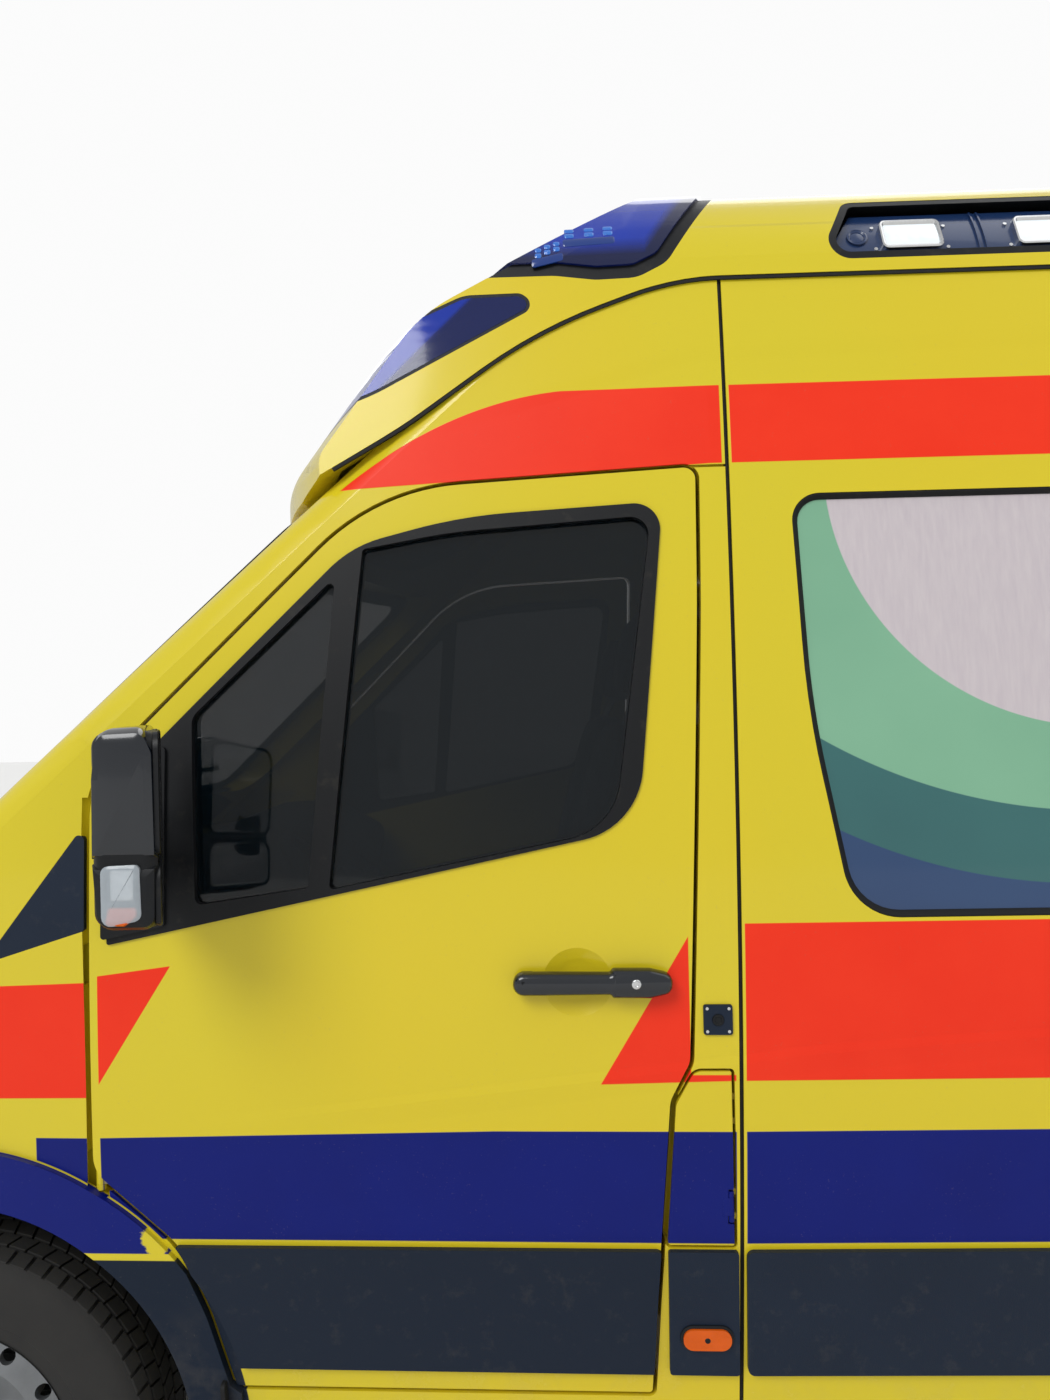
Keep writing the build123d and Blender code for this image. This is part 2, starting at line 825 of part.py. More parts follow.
rear_hinges = [rear_hinge(z) for z in rear_hinge_heights]
for hinge in rear_hinges:
    z = hinge.room.center().Z
    for sign in (1, -1):
        z_low = z + sign * (25 + stack_gap + lug_height / 2) - lug_height / 2
        pad = block(rear_face_x - 8, rear_hinge_x, -rear_hinge_y - 55, -rear_hinge_y - 20, z_low, z_low + lug_height)
        rear_frame = rear_frame + pad + mirrored(pad)
    rear_frame = rear_frame + hinge.fixed + mirrored(hinge.fixed)
save("rear_frame", one(rear_frame))

rear_leaf = portal(0) & block(rear_face_x - rear_door_thick, rear_face_x, far_left, -rear_gap / 2, low, high)
rear_window = [(-700, 1330, 60), (-150, 1330, 60), (-150, 1960, 60), (-640, 1960, 60)]
rear_leaf = rear_leaf - along(rear_window, rear_face_x - 100, rear_face_x + 20)
for hinge in rear_hinges:
    z = hinge.room.center().Z
    pad = block(rear_face_x - 8, rear_hinge_x, -rear_hinge_y + 26, -rear_hinge_y + 50, z - 25, z + 25)
    rear_leaf = rear_leaf + pad + hinge.moving
save("rear_door_left", one(rear_leaf))
save("rear_door_right", mirrored(one(rear_leaf)))
rear_face = rounded_path(rear_window)
rear_pane = extrude(Plane.YZ.offset(rear_face_x - 30) * offset(make_face(rear_face), -fit), glass_thick)
save("rear_door_glass_left", rear_pane)
save("rear_door_glass_right", mirrored(rear_pane))

step = block(step_front_x + 2, tail_x, -965, 965, sill_z, step_high_z - 2)
step = step - block(step_front_x - 5, tail_x - 90, -905, 905, sill_z - 5, step_high_z - 45)
step = fillet(step.edges().filter_by(Axis.Z).group_by(Axis.X)[-1], 60)
tread_marks = []
for y in range(-750, 800, 150):
    tread_marks.append(block(tail_x - 75, tail_x - 15, y - 40, y + 40, step_high_z - 6, step_high_z))
for mark in tread_marks:
    step = step - mark
save("rear_step", one(step))

lens = one(layer(tail_prism(0), 0, tail_thick))
save("tail_lamps", both(lens))

# Bonnet

bonnet = layer(bonnet_prism(0), 0, bonnet_thick)
bonnet = bonnet - head_prism(panel_gap) - mirrored(head_prism(panel_gap))
behind_pin = block(bonnet_hinge_x, bonnet_hinge_x + 60, far_left, far_right, 1100, 1400)
bonnet = bonnet - (behind_pin - drum(bonnet_hinge_x, bonnet_hinge_z, bonnet_nose_radius, far_left, far_right))
for hinge in bonnet_hinges:
    bonnet = bonnet - (hinge.room & body_form(skin_thick))
bonnet = one(bonnet)
for hinge in bonnet_hinges:
    bonnet = bonnet + hinge.moving
save("bonnet", one(bonnet))


# Front bumper moulding with the grille opening, lamps and grille

nose_back_x = -2715
nose_thick = 45
nose_zone = block(nose_x - 60, nose_back_x - panel_gap, far_left, far_right, bumper_top_z - 10, hood_front_z + 5)
nose_panel = layer(nose_zone, 0, nose_thick)
nose_panel = nose_panel - bonnet_room - lamp_room - mirrored(lamp_room)
grille_zone = along(grille_corners, nose_x - 60, nose_back_x)
nose_panel = one(nose_panel - grille_zone)
bumper_form = body_form(-bumper_proud, bottom=bumper_bottom_z)
bumper_zone = block(nose_x - 60, fender_front_x - panel_gap, far_left, far_right, bumper_bottom_z, bumper_top_z)
bumper = (bumper_form & bumper_zone) - body_form(nose_thick)
bumper = bumper - arch_cut(front_axle_x, arch_radius + 8, far_left, far_right)
intake = along([(-430, 400, 30), (-430, 530, 30), (430, 530, 30), (430, 400, 30)], nose_x - 60, -2600)
bumper = one(one(bumper) + nose_panel) - intake
bumper = bumper & block(nose_x, 0, far_left, far_right, low, high)
save("front_bumper", one(bumper))

grille_path = rounded_path(grille_corners)
grille_rim = extrude(Plane.YZ.offset(nose_x - 60) * offset(make_face(grille_path), -fit), 400)
grille_core = extrude(Plane.YZ.offset(nose_x - 60) * offset(make_face(grille_path), -28), 400)
slat_from = 4
slat_to = 28
grille = layer(grille_rim - grille_core, -trim_proud, bonnet_thick)
for z in (720, 785, 850, 910):
    slat = grille_rim & block(nose_x - 60, nose_back_x, far_left, far_right, z - 11, z + 11)
    grille = grille + layer(slat, slat_from, slat_to)
intake_bars = []
for z in (436, 494):
    bar = block(nose_x - 60, -2600, -429.7, 429.7, z - 8, z + 8)
    intake_bars.append(one(layer(bar, slat_from, slat_to)))
save("grille", Compound([one(grille), *intake_bars]))

lamp = one(layer(head_prism(0), 0, nose_thick))
save("headlamps", both(lamp))

# Windscreen

screen_path = rounded_path(screen_corners)
screen_prism = extrude(Plane.YZ.offset(-2500) * offset(make_face(screen_path), -fit), 1400)
save("windscreen", one(layer(screen_prism, slat_from, slat_from + glass_thick)))

# Roof cap: its own section over the body, with a front turned about the windscreen's axis

cap_low_z = 1950
cap_side_z = 2430
cap_shoulder_y = 600
cap_shoulder_z = 2625
cap_shoulder_slope = radians(13.9)
cap_tip_z = 2069
cap_brow_radius = 1705
cap_brow_z = 2335
cap_slope = 0.6


def cap_section(x, inset):
    shift = narrowing(x)
    low_p, mid_p, side_p = [(half_width(z) + cap_proud - shift - inset, z) for z in (cap_low_z, 2200, cap_side_z)]
    shoulder = (cap_shoulder_y - shift - 0.6 * inset, cap_shoulder_z - 0.95 * inset)
    crown = (0, cap_crown_z - inset)
    lead = (cos(cap_shoulder_slope), -sin(cap_shoulder_slope))

    def flip(point):
        return (-point[0], point[1])

    outline = [
        ThreePointArc(low_p, mid_p, side_p),
        TangentArc(shoulder, side_p, tangent=lead),
        ThreePointArc(shoulder, crown, flip(shoulder)),
        TangentArc(flip(shoulder), flip(side_p), tangent=(-lead[0], lead[1])),
        ThreePointArc(flip(side_p), flip(mid_p), flip(low_p)),
        Line(flip(low_p), low_p),
    ]
    return Plane.YZ.offset(x) * make_face(Curve() + outline)


@lru_cache
def cap_form(inset):
    back = extrude(cap_section(cab_start_x, inset), rear_face_x - inset - cab_start_x)
    front = loft([cap_section(x, inset) for x in (cab_start_x, nose_start_x)], ruled=True)
    tip = cap_tip_radius - inset
    brow = cap_brow_radius - 0.82 * inset
    brow_z = cap_brow_z - 0.57 * inset
    top_r = 900
    top_z = brow_z + (brow - top_r) * cap_slope
    profile = [(0, cap_low_z), (tip, cap_low_z), (tip, cap_tip_z), (brow, brow_z), (top_r, top_z), (0, top_z)]
    return back + (front & turned(screen_axis_x, profile, [0, 0, 60, 300, 0, 0]))


cap_outer = cap_form(0)
cap = (cap_outer & above_cap_line) - cap_form(cap_wall)

# Lamps in the cap: rows of x, z, corner radius

beacon_corners = [
    (-1135, 2385, 10),
    (-1000, 2432, 80),
    (-865, 2430, 100),
    (-790, 2418, 60),
    (-722, 2419, 40),
    (-678, 2442, 30),
    (-602, 2566, 30),
    (-560, 2640, 0),
    (-560, 2800, 0),
    (-1300, 2800, 0),
    (-1300, 2385, 0),
]
front_lens_corners = [
    (-1450, 2088, 0),
    (-1196, 2190, 300),
    (-908, 2346, 14),
    (-932, 2366, 16),
    (-1034, 2366, 60),
    (-1112, 2330, 60),
    (-1450, 2330, 0),
]
strip_corners = [(-386, 2416, 40), (1500, 2416, 40), (1500, 2556, 40), (-318, 2556, 30)]
beacon_inner_y = 330
lens_inner_y = 420
lamp_depth = 42
lens_proud = 6
frame_width = 14
beacon_frame_width = 26


def flat(corners):
    return make_face(rounded_path(corners))


def outlined(corners, grow, y_from, y_to):
    face = offset(flat(corners), grow) if grow else flat(corners)
    return extrude(Plane.XZ.offset(-y_to) * face, y_to - y_from)


def band(zone, high_inset, low_inset):
    """The part of a zone between two depths below the cap's surface."""
    return (cap_form(high_inset) & zone) - cap_form(low_inset)


def beacon_margin(gap):
    return outlined(beacon_corners, beacon_frame_width + gap, far_left, 0)


beacon_zone = outlined(beacon_corners, 0, far_left, -beacon_inner_y)
beacon_room = outlined(beacon_corners, beacon_frame_width, far_left, -beacon_inner_y + frame_width)
lens_zone = outlined(front_lens_corners, 0, far_left, -lens_inner_y) - beacon_margin(8)
lens_room = outlined(front_lens_corners, 6, far_left, -lens_inner_y + 6) - beacon_margin(2)
strip_room = outlined(strip_corners, 0, far_left, -600)
strip_zone = outlined(strip_corners, -frame_width, far_left, -600)
pockets = (beacon_room + lens_room + strip_room) - cap_form(lamp_depth)
cap = cap - pockets - mirrored(pockets)

rear_beacon_zone = block(rear_face_x - 260, rear_face_x + 10, far_left, -470, 2470, high)
rear_pocket = rear_beacon_zone - cap_form(lamp_depth)
cap = cap - rear_pocket - mirrored(rear_pocket)
save("roof_cap", one(cap))

frame_from = 0.5
frame_to = lamp_depth - fit
tray_to = lamp_depth - 8
beacon_frame = one(band(beacon_room - beacon_zone, frame_from, frame_to))
lens_frame = one(band(lens_room - beacon_margin(2 + fit) - lens_zone, frame_from, frame_to))
tray = one(band(strip_room, frame_from, frame_to) - (strip_zone - cap_form(tray_to)))
rear_lens_zone = block(rear_face_x - 248, rear_face_x + 10, far_left, -482, 2482, high)
rear_frame_ring = one(band(rear_beacon_zone - rear_lens_zone, frame_from, frame_to))
save("lamp_frames", both(Compound([beacon_frame, lens_frame, tray, rear_frame_ring])))

lens_to = 30
rear_lens = block(rear_face_x - 248 + fit, rear_face_x + 10, far_left, -482 - fit, 2482 + fit, high)
front_lens = outlined(front_lens_corners, -fit, far_left, -lens_inner_y - fit) - beacon_margin(8 + fit)
beacons = [
    one(band(outlined(beacon_corners, -fit, far_left, -beacon_inner_y - fit), -lens_proud, lens_to)),
    one(band(front_lens, 0, lens_to)),
    one(band(rear_lens, 0, lens_to)),
]
save("beacons", both(Compound(beacons)))

strip_lamps = []
for x in (-206, 40, 420, 780, 1140, 1380):
    lamp_zone = outlined([(x - 52, 2447, 8), (x + 52, 2447, 8), (x + 52, 2504, 8), (x - 52, 2504, 8)], 0, far_left, -600)
    strip_lamps.append(one(band(lamp_zone, 10, tray_to - fit)))
save("strip_lamps", both(Compound(strip_lamps)))

# Side mouldings, flare ends, corner triangles and the small plate on the door pillar

rear_arch_left = drum(rear_axle_x, hub_z, flare_edge, far_left, -600)
panel_strip_a = one(moulding(seam_x(600) + 8, rear_axle_x) - rear_arch_left)
panel_strip_b = one(moulding(rear_axle_x, step_front_x - 6) - rear_arch_left)
pillar_strip = one(moulding(-712, seam_x(600) - 6, 5))
left_strips = [panel_strip_a, panel_strip_b, pillar_strip]
corner_plate = one(layer(outlined(triangle_corners, -fit, far_left, -700), 0, groove_depth))
lock_corners = [(-646, 1060, 4), (-598, 1060, 4), (-598, 1110, 4), (-646, 1110, 4)]
lock_plate = one((body_form(-trim_proud) & outlined(lock_corners, 0, far_left, -700)) - outer)
right_strip_a = mirrored(panel_strip_a) - slide_zone(panel_gap / 2)
right_strip_slide = mirrored(panel_strip_a) & slide_zone(-panel_gap / 2)
right_strips = [one(right_strip_a), one(right_strip_slide), mirrored(panel_strip_b), mirrored(pillar_strip)]
save("body_mouldings", Compound([*left_strips, *right_strips, corner_plate, mirrored(corner_plate), lock_plate]))

marker_corners = [(-690, 531, 17), (-690, 567, 17), (-610, 567, 17), (-610, 531, 17)]
marker_proud = 8
markers = []
for x in (0, 1600, 3200):
    zone = outlined([(x + point_x, z, r) for point_x, z, r in marker_corners], 0, far_left, -600)
    markers.append(one(layer(zone, -proud - marker_proud, -proud)))
save("marker_lamps", both(Compound(markers)))

# Floor with its wheelhouses

floor_top_z = 690
floor_thick = 50
cab_floor_z = 600
cab_floor_thick = 60
bulkhead_x = -560
riser_x = -532
rear_house_y = 700

floor = lining & block(riser_x, rear_face_x, far_left, far_right, floor_top_z - floor_thick, floor_top_z)
floor = floor + (lining & block(-1620, riser_x, far_left, far_right, cab_floor_z - cab_floor_thick, cab_floor_z))
floor = floor + (lining & block(riser_x, riser_x + 30, far_left, far_right, cab_floor_z - cab_floor_thick, floor_top_z))
toe_rows = [
    (-1625, 540, 0),
    (-1560, 540, 0),
    (-1560, 600, 0),
    (-1620, 600, 0),
    (firewall_x + fit, 760, 0),
    (firewall_x + fit, 700, 0),
]
toe = across(toe_rows, -tunnel_y, tunnel_y)
floor = floor + toe
for sign in (-1, 1):
    for x, inner_y in ((front_axle_x, tunnel_y), (rear_axle_x, rear_house_y)):
        y_a, y_b = sorted((sign * inner_y, sign * 1200))
        hollow = drum(x, hub_z, liner_radius, y_a, y_b)
        cheek_a, cheek_b = sorted((sign * inner_y, sign * (inner_y - liner_thick)))
        house = drum(x, hub_z, liner_radius + liner_thick, min(y_a, cheek_a), max(y_b, cheek_b))
        house = (lining & house & block(x - 500, x + 500, far_left, far_right, 560, high)) - hollow
        floor = (floor - hollow) + house
strut_lean = tan(steer_lean)
strut_top_z = 742
hub_reach = 80


def kingpin(z, sign):
    """Point on the steering axis of one side at a height."""
    return (front_axle_x, sign * (steer_y - (z - hub_z) * strut_lean), z)


for sign in (-1, 1):
    floor = floor + rod(kingpin(strut_top_z + fit, sign), kingpin(812, sign), 44)
floor = one(floor)
save("floor_pan", floor)

# Chassis rails, subframe and what hangs below

rail_y = 460
rail_half = 40
rail_low_z = step_high_z - 2 + fit
rails = Part()
for sign in (-1, 1):
    centre = sign * rail_y
    rails = rails + block(-2790, -380, centre - rail_half, centre + rail_half, 424, cab_floor_z - cab_floor_thick - fit)
    rails = rails + block(
        riser_x + 30 + fit, rear_face_x - 72, centre - rail_half, centre + rail_half, rail_low_z, floor_top_z - floor_thick - fit
    )
for x, z in ((-2770, 440), (-1200, 468), (-300, 535), (700, 535), (1330, 535), (2120, 535), (2700, 535)):
    rails = rails + block(x - 30, x + 30, -rail_y, rail_y, z, z + 70)
spring_y = 590
spring_half = 35
for sign in (-1, 1):
    for x in (rear_axle_x - 640, rear_axle_x + 640):
        bracket_a, bracket_b = sorted((sign * (rail_y + rail_half), sign * (spring_y + spring_half)))
        rails = rails + block(x - 35, x + 35, bracket_a, bracket_b, 445, 560)
tow_thread_radius = 9
tow_socket = drum_along(-2870, -2780, 200, 465, 16) - drum_along(-2871, -2810, 200, 465, tow_thread_radius)
save("chassis_rails", one(rails + tow_socket))

axle_z = hub_z
axle = drum(rear_axle_x, axle_z, 52, -690, 690) + (Pos(rear_axle_x, 0, axle_z) * Sphere(150))
for sign in (-1, 1):
    y_a, y_b = sorted((sign * 690, sign * 800))
    axle = axle + drum(rear_axle_x, axle_z, 150, y_a, y_b)
    y_a, y_b = sorted((sign * 742, sign * (half_track + hub_reach)))
    axle = axle + drum(rear_axle_x, axle_z, hub_bore - fit, y_a, y_b)
    spring_path = across(
        [
            (rear_axle_x - 640, 425, 0),
            (rear_axle_x, 395, 0),
            (rear_axle_x + 640, 425, 0),
            (rear_axle_x + 640, 444.7, 0),
            (rear_axle_x - 640, 444.7, 0),
        ],
        sign * spring_y - spring_half,
        sign * spring_y + spring_half,
    )
    axle = axle + spring_path
prop = rod((rear_axle_x - 120, 0, axle_z + 10), (-1260, 0, 420), 42)
axle = axle + prop + block(-345, -255, -70, 70, 350, 534.7)
save("rear_axle", one(axle))

subframe = block(front_axle_x - 70, front_axle_x + 70, -430, 430, 232, 300)
for sign in (-1, 1):
    y_a, y_b = sorted((sign * (rail_y - 60), sign * (rail_y + 30)))
    subframe = subframe + block(front_axle_x - 70, front_axle_x + 70, y_a, y_b, 232, 423.7)
ball_z = 196
ball_y = steer_y + (hub_z - ball_z) * strut_lean
for sign in (-1, 1):
    arm_rows = [
        (front_axle_x - 160, sign * 420, 10),
        (front_axle_x - 34, sign * (ball_y + 30), 24),
        (front_axle_x + 34, sign * (ball_y + 30), 24),
        (front_axle_x + 160, sign * 420, 10),
    ]
    near_y = min(sign * 360, sign * 440)
    subframe = subframe + upward(arm_rows, 176, 206)
    subframe = subframe + block(front_axle_x - 150, front_axle_x + 150, near_y, near_y + 80, 176, 260)
subframe = subframe + drum(front_axle_x + 130, 330, 26, -520, 520)
subframe = subframe + block(front_axle_x + 70, front_axle_x + 140, -60, 60, 250, 330)
save("front_subframe", one(subframe))

engine = block(-2560, -1975, -300, 300, 300.5, 900)
engine = fillet(engine.edges().filter_by(Axis.X), 60)
engine = engine + rod((-1980, 0, 470), (-1262, 0, 425), 85)
save("engine_block", one(engine))
save("radiator", block(-2760, -2700, -399, 399, 510 + fit, 960))

tank = fillet(block(-420, 560, -395, -80, 330, 534.7).edges().filter_by(Axis.X), 40)
save("fuel_tank", tank)

exhaust = rod((-1600, 260, 400), (-300, 300, 420), 32) + rod((-300, 300, 420), (500, 300, 430), 32)
exhaust = exhaust + (Pos(250, 300, 420) * Rot(0, 90, 0) * Cylinder(85, 620))
exhaust = exhaust + rod((500, 300, 430), (1200, 300, 400), 32)
exhaust = exhaust + block(680, 720, 280, 320, 420, 534.7)
save("exhaust", one(exhaust))

# Knuckles: an upright on the steering axis with its strut, hub spindle and steering arm


def knuckle(sign):
    body = rod(kingpin(213.5, sign), kingpin(460, sign), 34) + rod(kingpin(440, sign), kingpin(strut_top_z, sign), 26)
    y_a, y_b = sorted((sign * (steer_y - 10), sign * (half_track + hub_reach)))
    body = body + drum(front_axle_x, hub_z, hub_bore - fit, y_a, y_b)
    y_a, y_b = sorted((sign * (steer_y + 4), sign * (steer_y + 40)))
    body = body + drum(front_axle_x, hub_z, 62, y_a, y_b)
    arm_end = (front_axle_x + 128, sign * (steer_y - 26), hub_z - 60)
    body = body + rod(kingpin(hub_z - 50, sign), arm_end, 14)
    return one(body)


save("front_knuckle_left", knuckle(-1))
save("front_knuckle_right", knuckle(1))

# Wheels: rows of distance outboard from the wheel's middle, radius

tyre_rows = [
    (-98, 204),
    (-tyre_half, 268),
    (-tread_half - 6, tyre_radius),
    (tread_half + 6, tyre_radius),
    (tyre_half, 268),
    (98, 204),
]
rim_rows = [
    (-108, 212),
    (-98.5, 203.5),
    (98.5, 203.5),
    (110, 213),
    (66, 190),
    (84, 142),
    (62, 80),
    (62, 46),
    (90, 36),
    (90, 0),
    (84, 0),
    (84, hub_bore),
    (50, hub_bore),
    (50, 92),
    (72, 142),
    (54, 190),
    (-108, 194),
]
vent_count = 12
vent_circle = 169
vent_radius = 13


def spun(rows):
    face = make_face(Polyline(*[(r, v) for v, r in rows], close=True))
    return revolve(face, Axis.Y)


tyre = spun(tyre_rows)
rim = spun(rim_rows)
for index in range(vent_count):
    turn = 2 * pi * index / vent_count
    x, z = vent_circle * cos(turn), vent_circle * sin(turn)
    rim = rim - Pos(x, 70, z) * Rot(90, 0, 0) * Cylinder(vent_radius, 60)
for end, x in (("front", front_axle_x), ("rear", rear_axle_x)):
    save(f"tyre_{end}_right", Pos(x, half_track, hub_z) * tyre)
    save(f"rim_{end}_right", Pos(x, half_track, hub_z) * rim)
    save(f"tyre_{end}_left", mirrored(Pos(x, half_track, hub_z) * tyre))
    save(f"rim_{end}_left", mirrored(Pos(x, half_track, hub_z) * rim))

# Cab and cabin fittings

dash_corners = [
    (firewall_x + fit, 860, 10),
    (firewall_x + fit, 1290, 30),
    (-1640, 1300, 60),
    (-1470, 1205, 50),
    (-1520, 990, 60),
    (-1690, 860, 40),
]
dash = across(dash_corners, -835, 835) & lining
wheel_place = Plane(origin=(-1325, -430, 1215), z_dir=(0.62, 0, 0.785)).location
steering = wheel_place * (Torus(192, 15) + Box(370, 34, 14) + Box(34, 370, 14) + Cylinder(60, 40))
column = rod((-1325, -430, 1215), (-1325 - 300 * 0.62, -430, 1215 - 300 * 0.785), 30)
save("dashboard", one(dash + steering + column))

seat_y = 470
cushion = fillet(block(-1330, -820, -245, 245, 830, 965).edges(), 40)
base = block(-1250, -880, -190, 190, cab_floor_z + fit, 850)
back = across([(-960, 900, 40), (-830, 900, 40), (-650, 1590, 50), (-750, 1600, 50)], -235, 235)
head = fillet(block(-745, -645, -130, 130, 1620, 1800).edges(), 34)
stalks = block(-705, -690, -60, -45, 1560, 1650) + block(-705, -690, 45, 60, 1560, 1650)
seat = one(cushion + base + back + head + stalks)
save("cab_seats", Compound([Pos(0, -seat_y, 0) * seat, Pos(0, seat_y, 0) * seat]))

bulkhead = lining & block(bulkhead_x, bulkhead_x + 27, far_left, far_right, cab_floor_z + fit, cap_seam_z)
doorway = [(-300, 720, 60), (300, 720, 60), (300, 1900, 60), (-300, 1900, 60)]
bulkhead = bulkhead - along(doorway, bulkhead_x - 10, bulkhead_x + 40)
save("bulkhead", one(bulkhead))

shelf_width = 600
shelf_height = 500
shelf_back_y = 840
cabinet = lining & block(880, 2780, far_left, -540, floor_top_z + fit, 1960)
cabinet = cabinet - (drum(rear_axle_x, hub_z, liner_radius + liner_thick + 1, far_left, -rear_house_y + liner_thick + 1))
for x in (900, 1530, 2160):
    for z in (880, 1410):
        cabinet = cabinet - block(x, x + shelf_width, -shelf_back_y, -500, z, z + shelf_height)
save("cabinets", one(cabinet))
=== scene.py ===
import math

import bmesh
import bpy
from mathutils import Matrix, Vector


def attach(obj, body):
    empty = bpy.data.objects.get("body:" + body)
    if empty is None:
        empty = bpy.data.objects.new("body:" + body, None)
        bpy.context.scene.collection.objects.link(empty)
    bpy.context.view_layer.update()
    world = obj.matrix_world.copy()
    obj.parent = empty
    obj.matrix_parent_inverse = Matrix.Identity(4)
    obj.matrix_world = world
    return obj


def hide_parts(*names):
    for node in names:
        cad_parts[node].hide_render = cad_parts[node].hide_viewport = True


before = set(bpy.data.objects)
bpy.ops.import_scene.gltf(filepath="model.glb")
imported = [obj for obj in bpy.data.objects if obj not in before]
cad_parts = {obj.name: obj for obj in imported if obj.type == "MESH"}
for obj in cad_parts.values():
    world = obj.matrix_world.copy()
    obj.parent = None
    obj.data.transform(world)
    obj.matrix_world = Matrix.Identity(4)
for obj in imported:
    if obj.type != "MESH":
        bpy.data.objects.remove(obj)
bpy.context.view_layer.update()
print("frame loaded")

# camera: the photograph's place, a little turned and rolled
camera = {"place": (-0.88, -2.745, 1.624), "yaw": 1.7, "roll": 1.22, "lens": 27.03, "sensor": 36.0}


def makeCamera():
    yaw = math.radians(camera["yaw"])
    roll = math.radians(camera["roll"])
    ahead = Vector((-math.sin(yaw), math.cos(yaw), 0))
    level = Vector((math.cos(yaw), math.sin(yaw), 0))
    up = Vector((0, 0, 1))
    right = level * math.cos(roll) - up * math.sin(roll)
    top = level * math.sin(roll) + up * math.cos(roll)
    data = bpy.data.cameras.new("photoCamera")
    data.sensor_width = camera["sensor"]
    data.lens = camera["lens"]
    data.clip_end = 200
    holder = bpy.data.objects.new("photoCamera", data)
    columns = Matrix((right, top, -ahead)).transposed().to_4x4()
    holder.matrix_world = Matrix.Translation(camera["place"]) @ columns
    bpy.context.scene.collection.objects.link(holder)
    bpy.context.scene.camera = holder


makeCamera()

# the van's side: the same arc and tapers as the body, in metres
body = {
    "half": 0.985, "widest": 1.0, "arc": 5.686,
    "cab": -0.6, "nose": -1.7, "cabTaper": 1.6, "noseTaper": 5.0,
}
cabSlope = math.tan(math.radians(body["cabTaper"]))
noseSlope = math.tan(math.radians(body["noseTaper"]))


def taper(x):  # how much narrower the body is at x than in the middle
    return max(0, body["cab"] - x) * cabSlope + max(0, body["nose"] - x) * (noseSlope - cabSlope)


def sideY(x, z, out=0.0):
    half = body["half"] - body["arc"] + math.sqrt(body["arc"] ** 2 - (z - body["widest"]) ** 2)
    return half - taper(x) + out


# shader expressions


class Wire:
    def __init__(self, tree, out):
        self.tree = tree
        self.out = out

    def math(self, kind, *values):
        return self.node("ShaderNodeMath", {"operation": kind}, dict(enumerate(values)))

    def node(self, kind, settings=None, values=None, pick=0):
        made = self.tree.nodes.new(kind)
        for key, value in (settings or {}).items():
            if key == "stops":
                ramp = made.color_ramp
                while len(ramp.elements) < len(value):
                    ramp.elements.new(0.5)
                for stop, (place, colour) in zip(ramp.elements, value):
                    stop.position = place
                    stop.color = colour
            else:
                setattr(made, key, value)
        for key, value in (values or {}).items():
            if isinstance(value, Wire):
                self.tree.links.new(value.out, made.inputs[key])
            else:
                made.inputs[key].default_value = value
        return Wire(self.tree, made.outputs[pick])

    def clamp(self):
        return self.node("ShaderNodeClamp", {}, {"Value": self})

    def root(self):
        return self.math("SQRT", self)

    def size(self):
        return self.math("ABSOLUTE", self)

    def over(self, edge, soft=0.0015):  # 1 where the value is past the edge
        return ((self - edge) * (1 / soft) + 0.5).clamp()

    def under(self, edge, soft=0.0015):
        return ((edge - self) * (1 / soft) + 0.5).clamp()

    def tint(self, first, second):  # first colour where 0, second where 1
        return self.node(
            "ShaderNodeMix", {"data_type": "RGBA"}, {0: self, 6: colourOf(first), 7: colourOf(second)}, 2
        )


def operator(kind, swapped=False):
    if swapped:
        return lambda self, other: self.math(kind, other, self)
    return lambda self, other: self.math(kind, self, other)


for method, kind in (
    ("__add__", "ADD"), ("__sub__", "SUBTRACT"), ("__mul__", "MULTIPLY"), ("__pow__", "POWER"),
    ("least", "MINIMUM"), ("most", "MAXIMUM"),
):
    setattr(Wire, method, operator(kind))
Wire.__radd__ = operator("ADD", swapped=True)
Wire.__rsub__ = operator("SUBTRACT", swapped=True)


def colourOf(value):
    if isinstance(value, Wire):
        return value
    return tuple(value)[:3] + (1.0,)


def rgb(*screen):  # a colour as it looks on screen, made linear
    return tuple(((c / 255 + 0.055) / 1.055) ** 2.4 if c > 10 else c / 255 / 12.92 for c in screen)


class Finish:
    def __init__(self, name):
        self.material = bpy.data.materials.new(name)
        self.material.use_nodes = True
        self.tree = self.material.node_tree
        self.shader = self.tree.nodes["Principled BSDF"]
        place = self.tree.nodes.new("ShaderNodeTexCoord")
        self.place = Wire(self.tree, place.outputs["Object"])
        split = self.tree.nodes.new("ShaderNodeSeparateXYZ")
        self.tree.links.new(self.place.out, split.inputs[0])
        self.x, self.y, self.z = (Wire(self.tree, socket) for socket in split.outputs)

    def noise(self, scale, detail=3, rough=0.5, stretch=None):
        place = self.place
        if stretch:
            place = place.node("ShaderNodeMapping", {}, {"Vector": place, "Scale": stretch})
        values = {"Vector": place, "Scale": scale, "Detail": detail, "Roughness": rough}
        return place.node("ShaderNodeTexNoise", {}, values)

    def set(self, **values):
        names = {
            "base": "Base Color", "rough": "Roughness", "metal": "Metallic", "alpha": "Alpha",
            "coat": "Coat Weight", "coatRough": "Coat Roughness", "sheen": "Sheen Weight",
            "specular": "Specular IOR Level", "glow": "Emission Color", "glowPower": "Emission Strength",
        }
        for key, value in values.items():
            socket = self.shader.inputs[names[key]]
            if isinstance(value, Wire):
                self.tree.links.new(value.out, socket)
            elif key in ("base", "glow"):
                socket.default_value = colourOf(value)
            else:
                socket.default_value = value
        return self

    def bump(self, height, strength=0.3, distance=0.001):
        values = {"Strength": strength, "Distance": distance, "Height": height}
        made = self.place.node("ShaderNodeBump", {}, values)
        self.tree.links.new(made.out, self.shader.inputs["Normal"])
        return self


